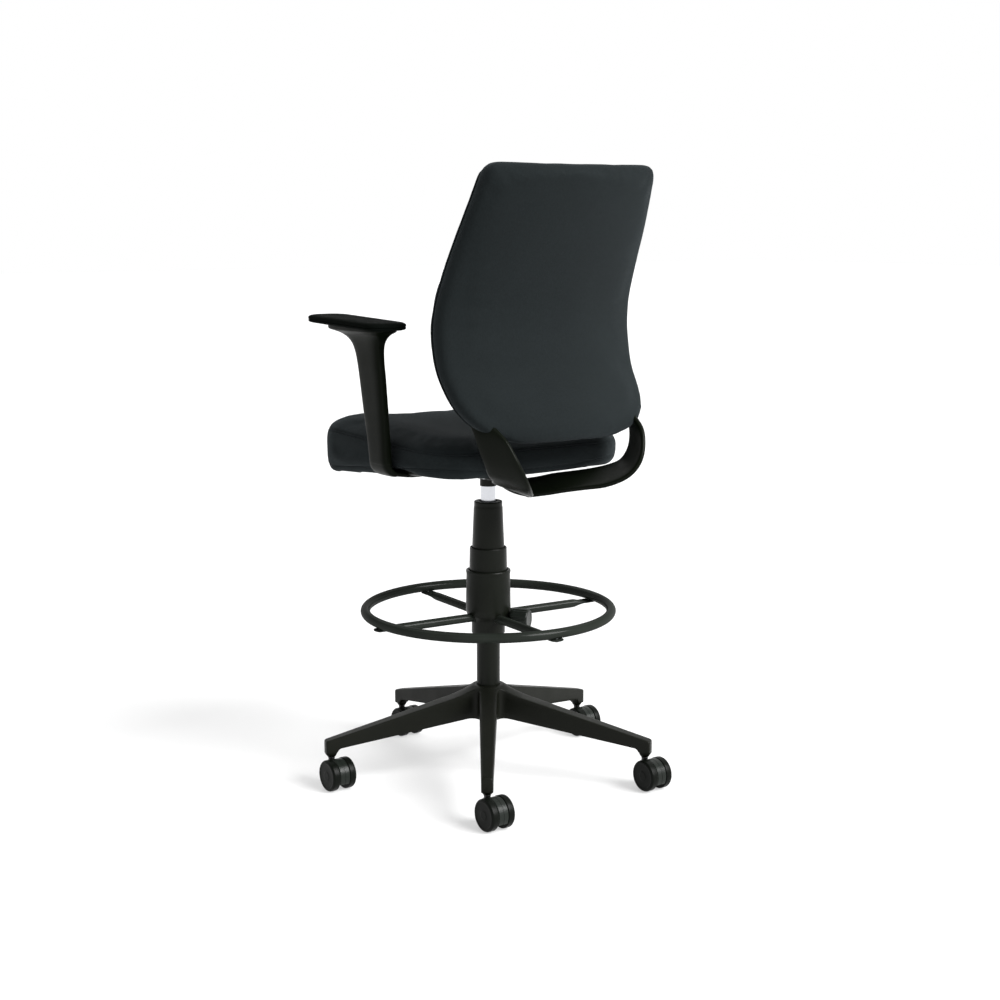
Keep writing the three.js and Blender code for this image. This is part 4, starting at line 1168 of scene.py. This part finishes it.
def fork():
    """The left half of the fork: a flat bar between its rear and its front edge."""
    rear = [Vector(p) for p in smooth_rows(YOKE_REAR, 4)]
    front = [Vector(p) for p in smooth_rows(YOKE_FRONT, 4)]
    middle = [a.lerp(b, 0.5) for a, b in zip(rear, front)]
    rings = []
    for i, m in enumerate(middle):
        along = (middle[min(i + 1, len(middle) - 1)] - middle[max(i - 1, 0)]).normalized()
        spread = rear[i] - front[i]
        half = spread.length / 2
        spread.normalize()
        face = along.cross(spread).normalized()
        rings.append([
            tuple(m + spread * half * power(math.cos(t), 0.42)
                  + face * (YOKE_THICK / 2) * power(math.sin(t), 0.5)) for t in half_turns(36)
        ])
    return loft(rings)


def yoke_spine():
    """The bar from the pivot back to where the fork parts, and the eye round the pivot pin."""
    pivot_y, pivot_z = 38, 575.5
    rows = [(pivot_z, pivot_y - 5, 20, 8, 0.5), (pivot_z - 1, pivot_y + 10, 20, 8.5, 0.5),
            (566, 74, 22, 10, 0.5), (560.5, 104, 24, 9.5, 0.5), (555, 126, 16, 7, 0.6),
            (552, 137, 6, 4, 0.8)]
    rings = [[(a, y, z + b) for a, b in squared_oval(half_x, half_z, square, 36)]
             for z, y, half_x, half_z, square in smooth_rows(rows, 4)]
    eye = filleted([(0, -20), (9.5, -20), (9.5, 20), (0, 20)], 1.2)
    return [loft(rings), turned(eye, 40, about="X", at=(0, pivot_y, pivot_z))]


def yoke():
    left = fork()
    ob = mesh_of("yoke_casting", [left, mirrored(left), *yoke_spine()], sharp=SMOOTH_ALL)
    remeshed(ob, YOKE_VOXEL)
    softened(ob, 3)
    apply_modifiers(ob)
    shade(ob, SMOOTH_ALL)
    # The yoke wears its nylon copy, which carries painted shade and painted light in its colour.
    finish(ob, "back", YOKE_PLASTIC_PAINTED_SHADE_AND_LIGHT, "plastic", "yoke")


yoke()


# ---- back ----
# Height, half width, place of the two side edges and thickness, from the bottom up.
BACK_ROWS = [
    (660, 72, 205, 18), (666, 112, 203, 34), (677, 150, 200, 48), (694, 176, 195, 56),
    (714, 193, 185, 57), (738, 202, 169, 56), (780, 207.5, 143, 54), (815, 209.3, 133, 54),
    (850, 209.5, 128, 54), (880, 208.3, 130, 54), (910, 206, 137, 54), (968, 201.5, 159, 53),
    (1025, 195, 185, 52), (1081, 186, 210, 51), (1112, 180, 224, 49), (1126, 174, 229, 40),
    (1131.5, 166, 230.5, 28), (1134, 156, 231, 14)]
BACK_WRAP, BACK_WRAP_HALF = 38.0, 212.0
BACK_SHRINK = 0.5
COVER_RISE, COVER_WIDENING = 3.0, 5.0
FACE_POINTS, END_POINTS = 34, 9
PIPING_PITCH = 0.006


def back_ring(z, half, edge_y, thick):
    """A level section of the back: two faces that curve round the sitter, with round ends."""
    r = max(3.0, thick / 2 - BACK_SHRINK)
    straight = half - BACK_SHRINK - r * 0.75

    def offset(x, side, along):
        s = -2 * BACK_WRAP * x / BACK_WRAP_HALF ** 2
        length = math.hypot(1, s)
        y = edge_y + BACK_WRAP * (1 - (x / BACK_WRAP_HALF) ** 2)
        return x + (along - side * s) / length, y + (side + along * s) / length, z

    out = []
    for side in (1, -1):
        for i in range(FACE_POINTS):
            out.append(offset(straight * (1 - 2 * i / (FACE_POINTS - 1)) * side, side * r, 0))
        for i in range(END_POINTS):
            t = (i + 1) / (END_POINTS + 1) * math.pi
            out.append(offset(-straight * side, side * r * math.cos(t), -side * r * 0.75 * math.sin(t)))
    return out


def back_border(rows, low, high):
    """(x, z) round the back's front face, a little inside its edge."""
    inset, end = 7.0, 20
    top_half, bottom_half = 156, 72
    left = [(row[1] - inset, row[0]) for row in rows if low + end < row[0] < high - end]
    right = [(-x, z) for x, z in left[::-1]]
    top = [((top_half - inset) * (1 - i / 5), high - inset + 0.2) for i in range(11)]
    bottom = [((bottom_half + inset) * (-1 + i / 4), low + inset + 1) for i in range(9)]
    return left + top + right + bottom


def back_cushion():
    rows = smooth_rows(BACK_ROWS, 4)
    low, high = rows[0][0], rows[-1][0]
    for row in rows:
        share = (row[0] - low) / (high - low)
        row[0] += COVER_RISE * share ** 3
        row[1] += COVER_WIDENING
    ob = mesh_of("back_pad", [loft([back_ring(*row) for row in rows])], sharp=SMOOTH_ALL)
    swollen(ob, 4.0, lambda point: False)
    skin = skin_of(ob)
    path = []
    for x, z in back_border(rows, low, high):
        hit = skin.ray_cast(placed(x, -60, z), Vector((0, 1, 0)))
        if hit[0]:
            path.append(hit[0] + Vector((0, -0.0003, 0)))
    path = eased(resampled(eased(resampled(path, PIPING_PITCH), 6), PIPING_PITCH), 2)
    snapped = [skin.find_nearest(p)[0] for p in path]
    press_seam(ob, snapped, 2.2, 4.5)
    piping("back_piping", snapped, 1.7, "back")
    shade(ob, SMOOTH_ALL)
    finish(ob, "back", CLOTH, "fabric", "back_cushion")


back_cushion()


# ---- nodes kept from the model ----
KEPT = {
    "guide_bush": INNER_NYLON, "piston_rod": STEEL, "thrust_bearing": STEEL, "retaining_clip": STEEL,
    "mech_housing": PLASTIC, "yoke_pin": STEEL, "clamp_stud": STEEL,
    **{f"caster_{k + 1}_axle": STEEL for k in range(ARMS)},
}
for node, material in KEPT.items():
    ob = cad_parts[node]
    ob.data.materials.clear()
    ob.data.materials.append(material)
